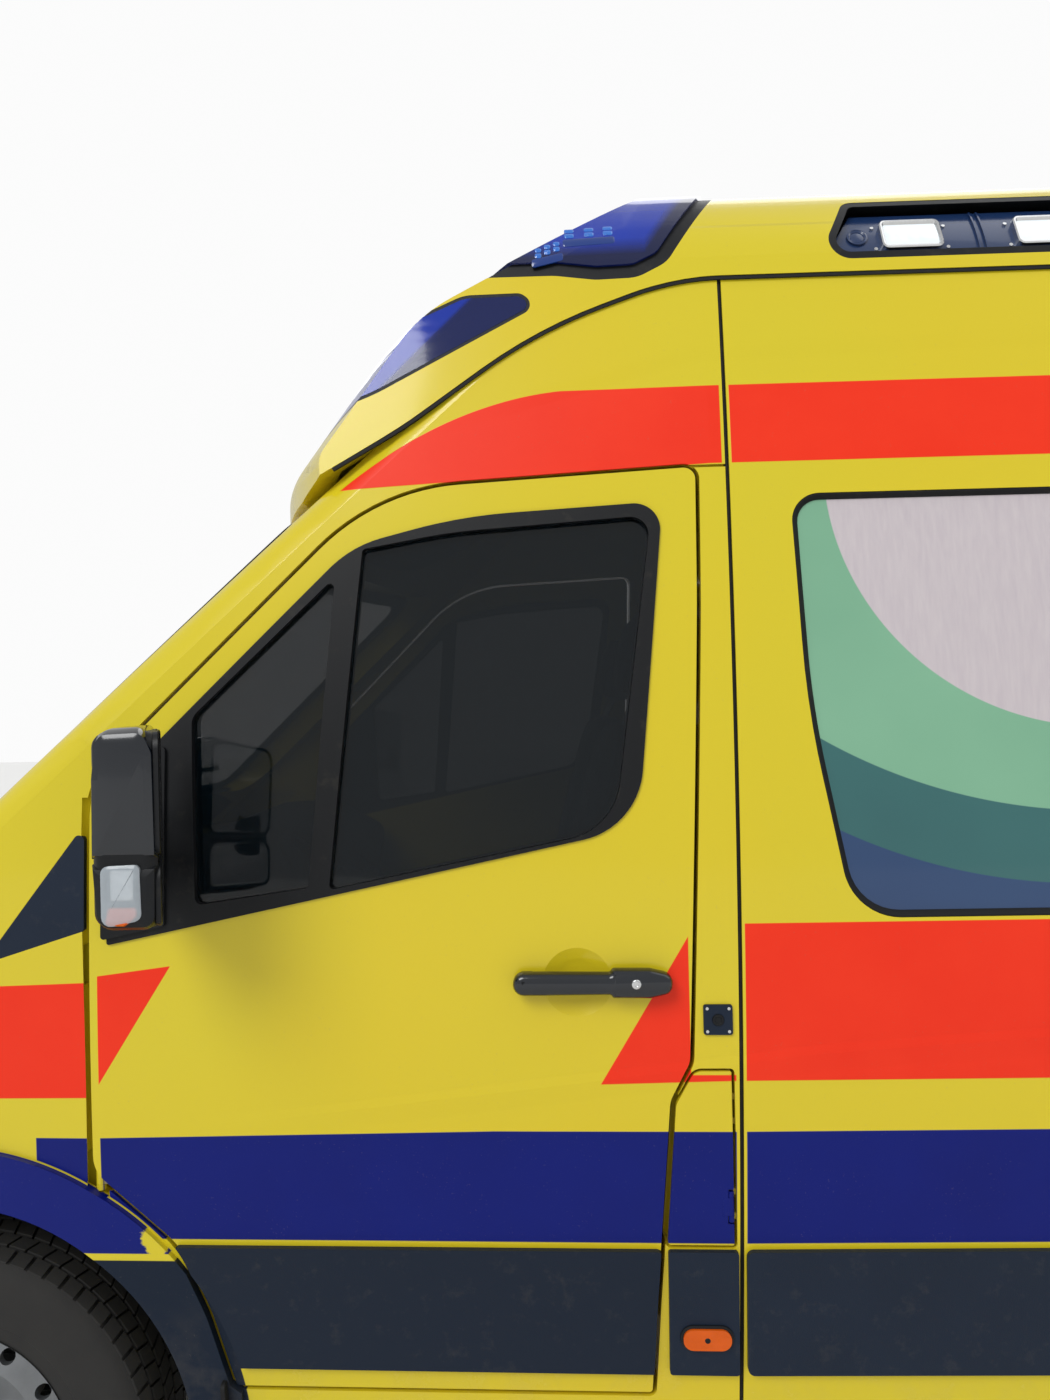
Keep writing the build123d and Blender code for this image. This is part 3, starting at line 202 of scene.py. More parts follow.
# colours as they look in plain light
colours = {
    "yellow": rgb(212, 200, 40),
    "yellowDeep": rgb(222, 194, 30),
    "navyPlastic": rgb(14, 28, 46),
    "black": rgb(16, 18, 21),
    "rubber": rgb(20, 21, 22),
    "dust": rgb(150, 140, 118),
}

# stripes and creases, in metres on the side view
stripes = {
    "highTop": 2.178, "highBottom": 2.033, "highFrom": -1.26, "highBend": -0.861, "highSlope": 0.072,
    "highCurl": 0.9, "highDrop": 0.0415, "cabFrom": -0.6, "lowDrop": 0.0265,
    "redTop": 1.243, "redBottom": 0.982, "blueTop": 0.897, "blueBottom": 0.707, "blueFrom": -1.8,
    "blueBend": (-1.0, 0.02),
    "panelFrom": -0.5885, "noseTo": -1.6945, "noseTip": (-2.44, 0.95, 0.5),
    "doorTop": (-1.554, 1.179, 0.0573, 0.0717), "fenderTop": (-1.705, 1.151, 0.046),
    "bareFront": (-1.695, 0.957, 0.636), "bareRear": (-0.814, 0.984, 0.612), "pillar": (-0.668, -0.59, 0.992),
    "panelSeam": (-0.593, 0.338, 0.01246), "doorSeam": -1.6915, "seamHalf": 0.0085,
    "flareOuter": 0.515, "flareDark": 0.674, "frontArch": (-1.951, 0.345), "rearArch": (1.714, 0.345),
    "tear": (-1.586, 0.712, 0.034), "tearFlat": 0.8, "cowlHalf": 0.8, "cowlTo": -1.99, "cowl": (1.225, 1.352),
    "rearFace": 2.9185,
}


# the pressed creases: height, where from, slope
creases = {
    "low": (0.901, -1.472, 0.118), "lowBend": (-0.45, 0.055), "lowFrom": -1.35,
    "panel": (0.975, -0.555, 0.034), "panelFrom": -0.55,
    "high": (2.176, -0.861, 0.26), "highReach": 0.25, "highBend": (-0.573, 0.015), "highFrom": -0.95,
}


def paintedBody():
    look = Finish("bodyPaint")
    x, y, z = look.x, look.y, look.z
    s = stripes
    arc = body["arc"]
    height = z - body["widest"]
    half = (arc * arc - height * height).root() + (body["half"] - arc)
    narrow = (body["cab"] - x).most(0.0) * cabSlope + (body["nose"] - x).most(0.0) * (noseSlope - cabSlope)
    skin = (y.size() - half + narrow).over(-0.008, 0.002)
    outside = skin.most(x.over(s["rearFace"], 0.002))

    fromFront = ((x - s["frontArch"][0]) ** 2.0 + (z - s["frontArch"][1]) ** 2.0).root()
    fromRear = ((x - s["rearArch"][0]) ** 2.0 + (z - s["rearArch"][1]) ** 2.0).root()
    fromArch = fromFront.least(fromRear)
    flare = fromArch.under(s["flareOuter"] + 0.001) * z.over(0.2)
    clear = fromArch.over(s["flareOuter"] + 0.004)

    ahead = (x - s["highBend"]).least(0.0)
    highTop = s["highTop"] + ahead * s["highSlope"] - ahead * ahead * s["highCurl"]
    cabward = (x - s["cabFrom"]).least(0.0)
    highBottom = s["highBottom"] + cabward * s["highDrop"]
    high = (z - highTop).under(0.0) * (z - highBottom).over(0.0) * x.over(s["highFrom"])

    onPanel = x.over(s["panelFrom"])
    doorX, doorZ, doorSlope, doorBend = s["doorTop"]
    doorTop = doorZ + (x - doorX) * doorSlope + (x - doorX).least(0.0) * doorBend
    fenderX, fenderZ, fenderSlope = s["fenderTop"]
    fenderTop = fenderZ + (x - fenderX) * fenderSlope
    behindNose = x.over(s["noseTo"])
    lowTop = doorTop * behindNose + fenderTop * (1 - behindNose)
    lowTop = lowTop * (1 - onPanel) + onPanel * s["redTop"]
    lowBottom = s["redBottom"] + cabward * s["lowDrop"]
    lowBand = (z - lowTop).under(0.0) * (z - lowBottom).over(0.0)
    bareEdges = []
    for edgeX, edgeZ, lean in (s["bareFront"], s["bareRear"]):  # the yellow field on the door
        bareEdges.append(x - (z - edgeZ) * lean - edgeX)
    doorBare = bareEdges[0].over(0.0) * bareEdges[1].under(0.0)
    pillarFrom, pillarTo, pillarLow = s["pillar"]
    pillarBare = x.over(pillarFrom) * x.under(pillarTo) * z.over(pillarLow)
    tipX, tipZ, tipLean = s["noseTip"]
    noseEnd = (x - tipX + (z - tipZ) * tipLean).over(0.0)
    low = lowBand * (1 - doorBare) * (1 - pillarBare) * noseEnd

    seamX, seamZ, seamLean = s["panelSeam"]
    besidePanel = (x - (z - seamZ) * seamLean - seamX).size().over(s["seamHalf"])
    seamLine = besidePanel * (x - s["doorSeam"]).size().over(s["seamHalf"])
    blueX, blueSlope = s["blueBend"]
    blueTop = s["blueTop"] + (x - blueX).least(0.0) * blueSlope
    bluePanel = seamLine * z.under(blueTop) * z.over(s["blueBottom"]) * clear * x.over(s["blueFrom"])
    tearX, tearZ, tearSize = s["tear"]
    tear = (x - tearX) ** 2.0 + ((z - tearZ) * s["tearFlat"]) ** 2.0
    ragged = look.noise(90, 4, 0.7) * 0.02
    missing = (tear.root() + ragged).under(tearSize, 0.004) * y.under(0.0)
    blueFlare = flare * z.over(s["flareDark"] + 0.012) * (1 - missing)
    blue = bluePanel.most(blueFlare)
    red = high.most(low) * seamLine
    darkFlare = flare * z.under(s["flareDark"])
    cowlLow, cowlHigh = s["cowl"]
    cowl = y.size().under(s["cowlHalf"]) * x.under(s["cowlTo"]) * z.over(cowlLow) * z.under(cowlHigh)

    cloud = look.noise(1.6, 2)
    yellow = cloud.tint(colours["yellow"], colours["yellowDeep"])
    fade = look.noise(5.5, 4, 0.6)
    redShade = fade.tint(rgb(236, 44, 18), rgb(246, 58, 28))
    blueShade = fade.tint(rgb(0, 16, 104), rgb(0, 22, 118))
    paint = (red * outside).tint(yellow, redShade)
    paint = (blue * outside).tint(paint, blueShade)
    dark = (darkFlare * outside).most(cowl)
    paint = dark.tint(paint, colours["navyPlastic"])
    grime = look.noise(14, 5, 0.65)
    lowDirt = z.under(0.42, 0.4) * grime.over(0.55, 0.2) * 0.18
    speck = look.noise(240, 1).over(0.72, 0.03) * grime.over(0.5, 0.2) * 0.1
    paint = lowDirt.most(speck).tint(paint, colours["dust"])
    film = (red.most(blue) * outside).clamp()
    grain = look.noise(900, 2)
    rough = 0.22 + film * 0.12 + dark * 0.3 + lowDirt * 0.5 + grime * 0.05
    look.set(base=paint, rough=rough, coat=(1 - dark) * (1 - film) * 0.5, coatRough=0.08, specular=0.22)

    # one crease low on the door rising to the panel, one on the panel and one under the roof
    lowZ, lowX, lowSlope = creases["low"]
    bendX, bendSlope = creases["lowBend"]
    lowLine = lowZ + (x - lowX) * lowSlope - (x - bendX).most(0.0) * bendSlope
    fadeIn = x.over(creases["lowFrom"], 0.5)
    crease = (z - lowLine).over(0.0, 0.05) - (z - lowLine).over(0.012, 0.016) * 0.75
    panelZ, panelX, panelSlope = creases["panel"]
    onPanelLine = z - panelZ - (x - panelX) * panelSlope
    under = onPanelLine.over(0.0, 0.02) * x.over(creases["panelFrom"], 0.1) * 0.25
    highZ, highX, highSlope = creases["high"]
    bendX, bendSlope = creases["highBend"]
    highLine = highZ + (x - highX).least(creases["highReach"]) * highSlope + (x - bendX).most(0.0) * bendSlope
    roofCrease = (z - highLine).over(0.0, 0.03) * 0.5 * x.over(creases["highFrom"], 0.3)
    edge = film * 0.12
    peel = look.noise(120, 1) * 0.02
    relief = (crease * fadeIn + under + roofCrease) * skin + edge + peel + grain * dark * 0.08
    look.bump(relief, 0.55, 0.004)
    return look.material


def brighter(colour, times, plus):
    return tuple(min(1, c * times + plus) for c in colour)


def plastic(name, colour, rough=0.45, grain=420, deep=0.25, variation=0.25):
    look = Finish(name)
    cloud = look.noise(9, 4, 0.6)
    base = cloud.tint(colour, brighter(colour, 1 + variation, 0.002))
    dust = look.noise(30, 5, 0.7).over(0.66, 0.2) * 0.05
    look.set(base=dust.tint(base, colours["dust"]), rough=rough + cloud * 0.12, specular=0.25)
    look.bump(look.noise(grain, 3, 0.6), deep, 0.0008)
    return look.material


def doorTrim():
    look = Finish("doorTrim")
    cloud = look.noise(9, 4, 0.6)
    base = look.z.under(0.75).tint(colours["black"], colours["navyPlastic"])
    dust = look.noise(30, 5, 0.7).over(0.66, 0.2) * 0.05
    look.set(base=dust.tint(base, colours["dust"]), rough=0.4 + cloud * 0.1, specular=0.25)
    look.bump(look.noise(480, 3, 0.6), 0.2, 0.0008)
    return look.material


def metal(name, colour, rough=0.35, grain=60, metallic=0.9, deep=0.15):
    look = Finish(name)
    cloud = look.noise(grain, 5, 0.6)
    darker = tuple(c * 0.7 for c in colour)
    look.set(base=cloud.tint(darker, colour), rough=rough + cloud * 0.15, metal=metallic)
    look.bump(look.noise(grain * 8, 2), deep, 0.0005)
    return look.material


def underPaint(name, colour):
    look = Finish(name)
    cloud = look.noise(7, 6, 0.65)
    rust = look.noise(22, 5, 0.7).over(0.6, 0.12)
    paint = cloud.tint(colour, brighter(colour, 1.6, 0.01))
    base = (rust * 0.6).tint(paint, rgb(84, 58, 40))
    look.set(base=base, rough=0.6 + rust * 0.25)
    look.bump(look.noise(70, 5, 0.7), 0.4, 0.002)
    return look.material


def glazing(name, colour, alpha, rough=0.03):
    look = Finish(name)
    smear = look.noise(3.5, 4, 0.6).over(0.55, 0.3)
    look.set(base=colour, rough=rough + smear * 0.05, alpha=alpha, coat=0.15, coatRough=0.03, specular=0.35)
    return look.material


# window film: arcs of (centre x and z, slope behind the centre, radius), the lilac field's foot and slope,
# and how the streaks are stretched
film = {
    "mint": (0.041, 2.003, 0.0, 0.444), "lilac": (1.559, 0.09), "streak": (3.0, 3.0, 0.12),
    "teal": (0.032, 2.321, 0.05, 0.902), "navy": (0.004, 2.237, 0.1, 0.938),
}


def filmArc(x, z, arc):
    arcX, arcZ, slope = film[arc][:3]
    return ((x.least(arcX) - arcX) ** 2.0 + (z - arcZ) ** 2.0).root() - (x - arcX).most(0.0) * slope


def windowFilm():
    look = Finish("windowFilm")
    x, z = look.x, look.z
    mintX = film["mint"][0]
    lilacZ, lilacSlope = film["lilac"]
    behind = (z - lilacZ + (x - mintX).most(0.0) * lilacSlope).over(0.0) * x.over(mintX)
    lilac = filmArc(x, z, "mint").under(film["mint"][3]).most(behind)
    streak = look.noise(40, 3, 0.6, film["streak"])
    cloud = look.noise(2.4, 3)
    lilacShade = streak.tint(rgb(188, 178, 186), rgb(208, 200, 202))
    mintShade = cloud.tint(rgb(104, 160, 128), rgb(136, 190, 156))
    tealShade = cloud.tint(rgb(28, 84, 88), rgb(48, 110, 108))
    navyShade = cloud.tint(rgb(18, 50, 96), rgb(30, 72, 116))
    base = lilac.tint(mintShade, lilacShade)
    base = filmArc(x, z, "teal").over(film["teal"][3]).tint(base, tealShade)
    base = filmArc(x, z, "navy").over(film["navy"][3]).tint(base, navyShade)
    look.set(base=base, rough=0.28 + streak * 0.1, coat=0.5, coatRough=0.05)
    look.bump(look.noise(300, 2), 0.05, 0.0004)
    return look.material


def gloss(name, colour, rough=0.12):
    look = Finish(name)
    cloud = look.noise(5, 3)
    base = cloud.tint(colour, brighter(colour, 1.3, 0.002))
    look.set(base=base, rough=rough + cloud * 0.06, coat=0.4, coatRough=0.05)
    look.bump(look.noise(60, 2), 0.02, 0.0005)
    return look.material


def wave(place, count):
    return place.math("SINE", place * count)


# the beacons' lower edge, darkened as painted shade, in metres on the side view
beaconPaintedShade = {
    "low": 2.4185, "rear": (-0.7, 1.63), "front": (-0.98, 0.35), "split": 2.378, "slant": (-1.106, 2.28, 1.03),
}


def blueLens():
    look = Finish("beaconLens")
    x, z = look.x, look.z
    ribs = wave(z, 260) * 0.5 + 0.5
    cloud = look.noise(6, 2)
    base = cloud.tint(rgb(4, 36, 140), rgb(8, 56, 180))
    (rearX, rearSlope), (frontX, frontSlope) = beaconPaintedShade["rear"], beaconPaintedShade["front"]
    slantX, slantZ, lean = beaconPaintedShade["slant"]
    split = beaconPaintedShade["split"]
    # painted shade: the lens turns near black in a band along its lower edge and below the slant
    bottom = (x - rearX).most(0.0) * rearSlope + (x - frontX).least(0.0) * frontSlope + beaconPaintedShade["low"]
    paintedShade = (z - bottom).under(0.04, 0.035) * z.over(split)
    slant = z - slantZ - (x - slantX) * lean
    paintedShade = paintedShade.most(slant.under(0.0, 0.012) * z.under(split) * 0.9)
    base = paintedShade.tint(base, rgb(2, 10, 34))
    look.set(base=base, rough=0.06, alpha=0.88, coat=0.4, coatRough=0.03, specular=0.4)
    look.set(glow=rgb(4, 44, 160), glowPower=0.1)
    look.bump(ribs, 0.12, 0.0012)
    return look.material


def colouredLens(name, colour, alpha=0.93, ribs=420, glow=0.15, shine=0.8):
    look = Finish(name)
    base = look.noise(30, 2).tint(colour, brighter(colour, 1.3, 0.01))
    look.set(base=base, rough=0.08, alpha=alpha, coat=shine, coatRough=0.03, specular=shine * 0.5)
    look.set(glow=colour, glowPower=glow)
    look.bump((wave(look.x, ribs) + wave(look.z, ribs)) * 0.25 + 0.5, 0.35, 0.0012)
    return look.material


def tyreRubber():
    look = Finish("tyreRubber")
    cloud = look.noise(18, 5, 0.6)
    base = cloud.tint(rgb(20, 20, 21), rgb(44, 43, 41))
    look.set(base=base, rough=0.75 + cloud * 0.15)
    look.bump(look.noise(260, 3), 0.3, 0.001)
    return look.material


def seatCloth():
    look = Finish("seatCloth")
    warp = wave(look.x, 1400) * wave(look.z, 1400)
    fleck = look.noise(260, 2).over(0.6, 0.1)
    look.set(base=(fleck * 0.5).tint(rgb(28, 32, 42), rgb(64, 70, 84)), rough=0.85, sheen=0.3)
    look.bump(warp * 0.3 + look.noise(60, 4) * 0.5, 0.35, 0.0012)
    return look.material


def cabinLining():
    look = Finish("cabinLining")
    look.set(base=look.noise(4, 3).tint(rgb(196, 196, 190), rgb(214, 214, 208)), rough=0.5)
    look.bump(look.noise(500, 2), 0.2, 0.0006)
    return look.material


def treadPlate():
    look = Finish("treadPlate")
    cloud = look.noise(20, 5, 0.6)
    look.set(base=cloud.tint(rgb(120, 121, 122), rgb(168, 168, 166)), rough=0.35 + cloud * 0.2, metal=0.7)
    look.bump((wave(look.x, 180) * wave(look.y, 180)).over(0.3, 0.3), 0.5, 0.002)
    return look.material


finishes = {
    "paint": paintedBody(),
    "film": windowFilm(),
    "glass": glazing("tintedGlass", rgb(6, 16, 22), 0.74),
    "screen": glazing("screenGlass", rgb(40, 54, 54), 0.42),
    "blueLens": blueLens(),
    "redLens": colouredLens("redLens", rgb(150, 8, 10)),
    "amberLens": colouredLens("amberLens", rgb(204, 84, 0), 0.97, 700, 0.03, 0.3),
    "clearLens": colouredLens("clearLens", rgb(190, 200, 208), 0.55, 500, 0.0),
    "lampWhite": colouredLens("lampWhite", rgb(214, 222, 226), 0.98, 300, 0.25),
    "black": plastic("blackPlastic", colours["black"], 0.35),
    "doorTrim": doorTrim(),
    "gloss": gloss("glossPlastic", rgb(12, 18, 26)),
    "led": colouredLens("ledBlue", rgb(30, 96, 180), 0.98, 900, 0.2),
    "ledTray": gloss("ledTray", rgb(6, 48, 120)),
    "stripFloor": gloss("stripPlastic", rgb(24, 46, 84), 0.2),
    "navy": plastic("mouldingPlastic", colours["navyPlastic"], 0.42, 500, 0.35),
    "grey": plastic("greyPlastic", rgb(52, 54, 57), 0.5, 500, 0.4),
    "rubber": plastic("rubber", colours["rubber"], 0.6, 300, 0.2),
    "chrome": metal("brightMetal", (0.78, 0.79, 0.8), 0.12, 40, 1.0, 0.03),
    "steel": metal("wheelSteel", rgb(138, 141, 144), 0.38, 40, 0.75),
    "exhaust": metal("exhaustSteel", rgb(120, 112, 102), 0.5, 24, 0.8, 0.3),
    "under": underPaint("underPaint", rgb(34, 34, 35)),
    "floor": underPaint("floorPaint", rgb(78, 80, 80)),
    "cast": underPaint("castMetal", rgb(96, 96, 94)),
    "tyre": tyreRubber(),
    "cloth": seatCloth(),
    "lining": cabinLining(),
    "tread": treadPlate(),
    "dash": plastic("dashPlastic", rgb(34, 37, 42), 0.55, 350, 0.4),
    "mirrorGlass": metal("mirrorGlass", (0.82, 0.84, 0.86), 0.02, 3, 1.0, 0.0),
}
print("finishes made")

# the finish of every CAD node
wears = {
    "paint": (
        "front_door_left front_door_right cab_frame fuel_flap fenders side_panel_left side_panel_right "
        "sliding_door rear_frame rear_door_left rear_door_right bonnet roof_cap"
    ),
    "glass": "front_door_glass_left front_door_glass_right",
    "film": "cabin_windows rear_door_glass_left rear_door_glass_right",
    "doorTrim": "front_door_trim_left front_door_trim_right", "tread": "rear_step",
    "redLens": "tail_lamps", "clearLens": "headlamps", "amberLens": "marker_lamps", "blueLens": "beacons",
    "lampWhite": "strip_lamps", "screen": "windscreen", "black": "grille lamp_frames",
    "grey": "front_bumper fuel_tank", "navy": "body_mouldings", "floor": "floor_pan",
    "under": "chassis_rails rear_axle front_subframe radiator", "exhaust": "exhaust",
    "cast": "engine_block front_knuckle_left front_knuckle_right", "dash": "dashboard", "cloth": "cab_seats",
    "lining": "bulkhead cabinets", "tyre": "tyre_front_left tyre_front_right tyre_rear_left tyre_rear_right",
    "steel": "rim_front_left rim_front_right rim_rear_left rim_rear_right",
}
for look, names in wears.items():
    for name in names.split():
        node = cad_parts[name]
        node.data.materials.clear()
        node.data.materials.append(finishes[look])
print("nodes finished")

# mesh helpers. An outline is a closed row of (u, v), and at(u, v, d) places it at d above a surface


def rounded(corners, steps=5):
    points = []
    for i, (u, v, radius) in enumerate(corners):
        here = Vector((u, v))
        if not radius:
            points.append(here)
            continue
        before = (Vector(corners[i - 1][:2]) - here).normalized()
        after = (Vector(corners[(i + 1) % len(corners)][:2]) - here).normalized()
        half = before.angle(after) / 2
        centre = here + (before + after).normalized() * (radius / math.sin(half))
        start = here + before * (radius / math.tan(half)) - centre
        end = here + after * (radius / math.tan(half)) - centre
        first = math.atan2(start.y, start.x)
        sweep = (math.atan2(end.y, end.x) - first + math.pi) % (2 * math.pi) - math.pi
        for k in range(steps + 1):
            turn = first + sweep * k / steps
            points.append(centre + Vector((math.cos(turn), math.sin(turn))) * radius)
    return points


def box(left, right, low, high, radius, steps=5):  # rounded rectangle
    return rounded([(left, low, radius), (right, low, radius), (right, high, radius), (left, high, radius)], steps)


def ringOf(u, v, radius, count=24):
    turns = [2 * math.pi * k / count for k in range(count)]
    return [Vector((u + radius * math.cos(turn), v + radius * math.sin(turn))) for turn in turns]


def drawn(points, reach):  # the same loop drawn in, or out where reach is below 0
    area = sum(points[i - 1].x * p.y - p.x * points[i - 1].y for i, p in enumerate(points))
    turn = 1 if area > 0 else -1
    made = []
    for i, point in enumerate(points):
        before = (point - points[i - 1]).normalized()
        after = (points[(i + 1) % len(points)] - point).normalized()
        normal = Vector((-(before.y + after.y), before.x + after.x)).normalized() * turn
        slant = max(0.5, normal.dot(Vector((-after.y, after.x)) * turn))
        made.append(point + normal * (reach / slant))
    return made


def fine(points, longest):  # the same closed outline with its long sides divided
    made = []
    for i, point in enumerate(points):
        after = points[(i + 1) % len(points)]
        count = max(1, math.ceil((after - point).length / longest))
        made += [point.lerp(after, k / count) for k in range(count)]
    return made


def row(start, end, count):  # evenly spaced points from start to end
    first, last = Vector(start), Vector(end)
    return [first.lerp(last, k / count) for k in range(count + 1)]


def skin(bm, rings, closed=False):  # neighbouring rings bridged, the first and last filled
    loops = []
    for ring in rings:
        verts = [bm.verts.new(place) for place in ring]
        loops.append([bm.edges.new((verts[i - 1], vert)) for i, vert in enumerate(verts)])
    for low, high in zip(loops, loops[1:]):
        bmesh.ops.bridge_loops(bm, edges=low + high)
    if closed:
        bmesh.ops.bridge_loops(bm, edges=loops[-1] + loops[0])
    else:
        bmesh.ops.holes_fill(bm, edges=loops[0] + loops[-1])


# closed plate: levels are rows of (drawn in by, height)
def plate(bm, points, levels, at):
    skin(bm, [[at(p.x, p.y, height) for p in drawn(points, reach)] for reach, height in levels])


# closed plate whose rings are rounded anew, so that a small corner isn't turned over
def shell(bm, corners, levels, at, steps=5):
    rings = []
    for reach, height in levels:
        moved = drawn([Vector((u, v)) for u, v, r in corners], reach)
        rows = [(p.x, p.y, max(r - reach, 0.0008)) for p, (u, v, r) in zip(moved, corners)]
        rings.append([at(p.x, p.y, height) for p in rounded(rows, steps)])
    skin(bm, rings)


# closed ring along an outline: profile is a closed row of (drawn in by, height)
def gasket(bm, points, profile, at):
    skin(bm, [[at(p.x, p.y, height) for p in drawn(points, reach)] for reach, height in profile], closed=True)


# bar along an open row of points on a surface: section is a closed row of (aside, height)
def trail(bm, points, section, at):
    rings = []
    for i, point in enumerate(points):
        ahead = (points[min(i + 1, len(points) - 1)] - points[max(i - 1, 0)]).normalized()
        aside = Vector((-ahead.y, ahead.x))
        rings.append([at(point.x + aside.x * a, point.y + aside.y * a, height) for a, height in section])
    skin(bm, rings)


# turned piece: rows of (radius, distance along the axis), spun and capped
def turned(bm, rows, origin, axis, count=32, loop=False):
    axis = Vector(axis).normalized()
    side = axis.orthogonal().normalized()
    verts = [bm.verts.new(Vector(origin) + axis * reach + side * radius) for radius, reach in rows]
    edges = [bm.edges.new(pair) for pair in zip(verts, verts[1:])]
    if loop:
        edges.append(bm.edges.new((verts[-1], verts[0])))
    full = 2 * math.pi
    bmesh.ops.spin(bm, geom=verts + edges, cent=origin, axis=axis, angle=full, steps=count, use_merge=True)
    bmesh.ops.holes_fill(bm, edges=[edge for edge in bm.edges if edge.is_boundary])


# one block, repeated round an axle
def repeated(bm, rings, centre, count):
    seed = bmesh.new()
    skin(seed, rings)
    geom = seed.verts[:] + seed.edges[:] + seed.faces[:]
    last = 2 * math.pi * (count - 1) / count
    bmesh.ops.spin(seed, geom=geom, cent=centre, axis=(0, 1, 0), angle=last, steps=count - 1, use_duplicate=True)
    spare = bpy.data.meshes.new("blocks")
    seed.to_mesh(spare)
    seed.free()
    bm.from_mesh(spare)
    bpy.data.meshes.remove(spare)


askew = Vector((0.13, 0.21, 0.97))  # a direction that no pipe follows


def pipe(bm, path, radius, count=10):
    rings = []
    for i, point in enumerate(path):
        ahead = (path[min(i + 1, len(path) - 1)] - path[max(i - 1, 0)]).normalized()
        side = ahead.cross(askew).normalized()
        other = ahead.cross(side)
        rings.append([point + side * p.x + other * p.y for p in ringOf(0, 0, radius, count)])
    skin(bm, rings)


def piece(name, bm, look, rider="body", sharp=38):
    bmesh.ops.recalc_face_normals(bm, faces=bm.faces)
    mesh = bpy.data.meshes.new(name)
    bm.to_mesh(mesh)
    bm.free()
    made = bpy.data.objects.new(name, mesh)
    bpy.context.scene.collection.objects.link(made)
    mesh.materials.append(finishes[look])
    mesh.polygons.foreach_set("use_smooth", [True] * len(mesh.polygons))
    mesh.set_sharp_from_angle(angle=math.radians(sharp))
    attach(made, rider)
    return made


# a piece of one shape only: maker is plate, shell, gasket or trail
def single(name, maker, outline, levels, at, look, rider="body", sharp=38):
    bm = bmesh.new()
    maker(bm, outline, levels, at)
    return piece(name, bm, look, rider, sharp)


def onSide(sign):
    return lambda x, z, d: Vector((x, sign * (sideY(x, z) + d), z))


rearFace = 2.925


def onRear(sign):
    return lambda y, z, d: Vector((rearFace + d, sign * y, z))


def outward(at, x, z):  # direction square to the surface
    return at(x, z, 1) - at(x, z, 0)


cap = {"proud": 0.006, "sideTop": 2.43, "shoulder": (0.6, 2.625), "slope": 13.9}


# the roof cap's side: the body's arc, then an arc tangent to the shoulder
def capY(x, z):
    if z <= cap["sideTop"]:
        return sideY(x, z, cap["proud"])
    low = Vector((sideY(x, cap["sideTop"], cap["proud"]), cap["sideTop"]))
    shoulder = Vector((cap["shoulder"][0] - taper(x), cap["shoulder"][1]))
    lean = math.radians(cap["slope"])
    inward = Vector((-math.sin(lean), -math.cos(lean)))
    reach = low - shoulder
    radius = reach.length_squared / (2 * reach.dot(inward))
    centre = shoulder + inward * radius
    return centre.x + math.sqrt(max(0, radius ** 2 - (z - centre.y) ** 2))


def onCap(sign):
    def at(x, z, d):
        lean = (capY(x, z + 0.001) - capY(x, z - 0.001)) / 0.002
        size = math.sqrt(1 + lean * lean)
        return Vector((x, sign * (capY(x, z) + d / size), z - d * lean / size))
    return at


screen = {"radius": 2.6, "axis": 0.378, "base": 1.3, "slope": 44.1}
nose = {"radius": 2.4, "axis": -0.44, "base": 1.043, "lean": 8.1}


def onScreen(y, z, d):
    slope = math.radians(screen["slope"])
    radius = screen["radius"] - (z - screen["base"]) / math.tan(slope)
    turn = math.asin(y / radius)
    radius += d * math.sin(slope)
    return Vector((screen["axis"] - radius * math.cos(turn), radius * math.sin(turn), z + d * math.cos(slope)))


def onNose(y, z, d):
    radius = nose["radius"] + (nose["base"] - z) * math.tan(math.radians(nose["lean"]))
    turn = math.asin(y / radius)
    radius += d
    return Vector((nose["axis"] - radius * math.cos(turn), radius * math.sin(turn), z))


sides = (("left", -1), ("right", 1))
dot = 0.0001  # radius at which a turned piece closes on its axis

# door mirrors: a housing in two shells, an indicator lens and two glasses
mirror = {
    "shells": (
        ("upper", "gloss", [
            (-1.579, 1.398, 0.004), (-1.578, 1.52, 0.02), (-1.57, 1.594, 0.028),
            (-1.486, 1.597, 0.028), (-1.47, 1.56, 0.03), (-1.468, 1.398, 0.004),
        ]),
        ("lower", "black", [
            (-1.579, 1.3955, 0.003), (-1.468, 1.3955, 0.003), (-1.47, 1.292, 0.026), (-1.572, 1.291, 0.03),
        ]),
    ),
    "front": -1.576, "rear": -1.472, "tip": 1.213, "toe": 0.361,
    "levels": [
        (0.024, 1.0262), (0.008, 1.0285), (0.0, 1.046), (-0.001, 1.12),
        (0.0, 1.178), (0.003, 1.2), (0.009, 1.2125), (0.02, 1.2165),
    ],
    "lens": [(-1.556, 1.3, 0.014), (-1.556, 1.392, 0.012), (-1.498, 1.394, 0.008), (-1.496, 1.312, 0.012)],
    "lensLevels": [(0.0, 1.2125), (0.0, 1.218), (0.003, 1.22), (0.009, 1.2206)],
    "reflector": (-1.543, -1.508, 1.34, 1.386, 0.004), "reflectorLevels": [(0.0, 1.216), (0.002, 1.2186)],
    "bulb": [
        (-1.552, 1.304, 0.006), (-1.546, 1.331, 0.006), (-1.504, 1.331, 0.004),
        (-1.502, 1.318, 0.006), (-1.522, 1.303, 0.006),
    ],
    "bulbLevels": [(0.0, 1.216), (0.002, 1.219)],
    "glasses": (("main", 1.408, 1.584), ("wide", 1.304, 1.39)),
    "inner": 1.046, "outer": 1.204, "lowRound": 0.016, "highRound": 0.022,
    "glassLevels": [(0.0, -0.004), (0.0, 0.0022), (0.002, 0.0034), (0.006, 0.003)],
    "frame": [(0.0005, -0.004), (-0.005, -0.004), (-0.005, 0.0035), (-0.002, 0.0052), (0.0005, 0.0048)],
}


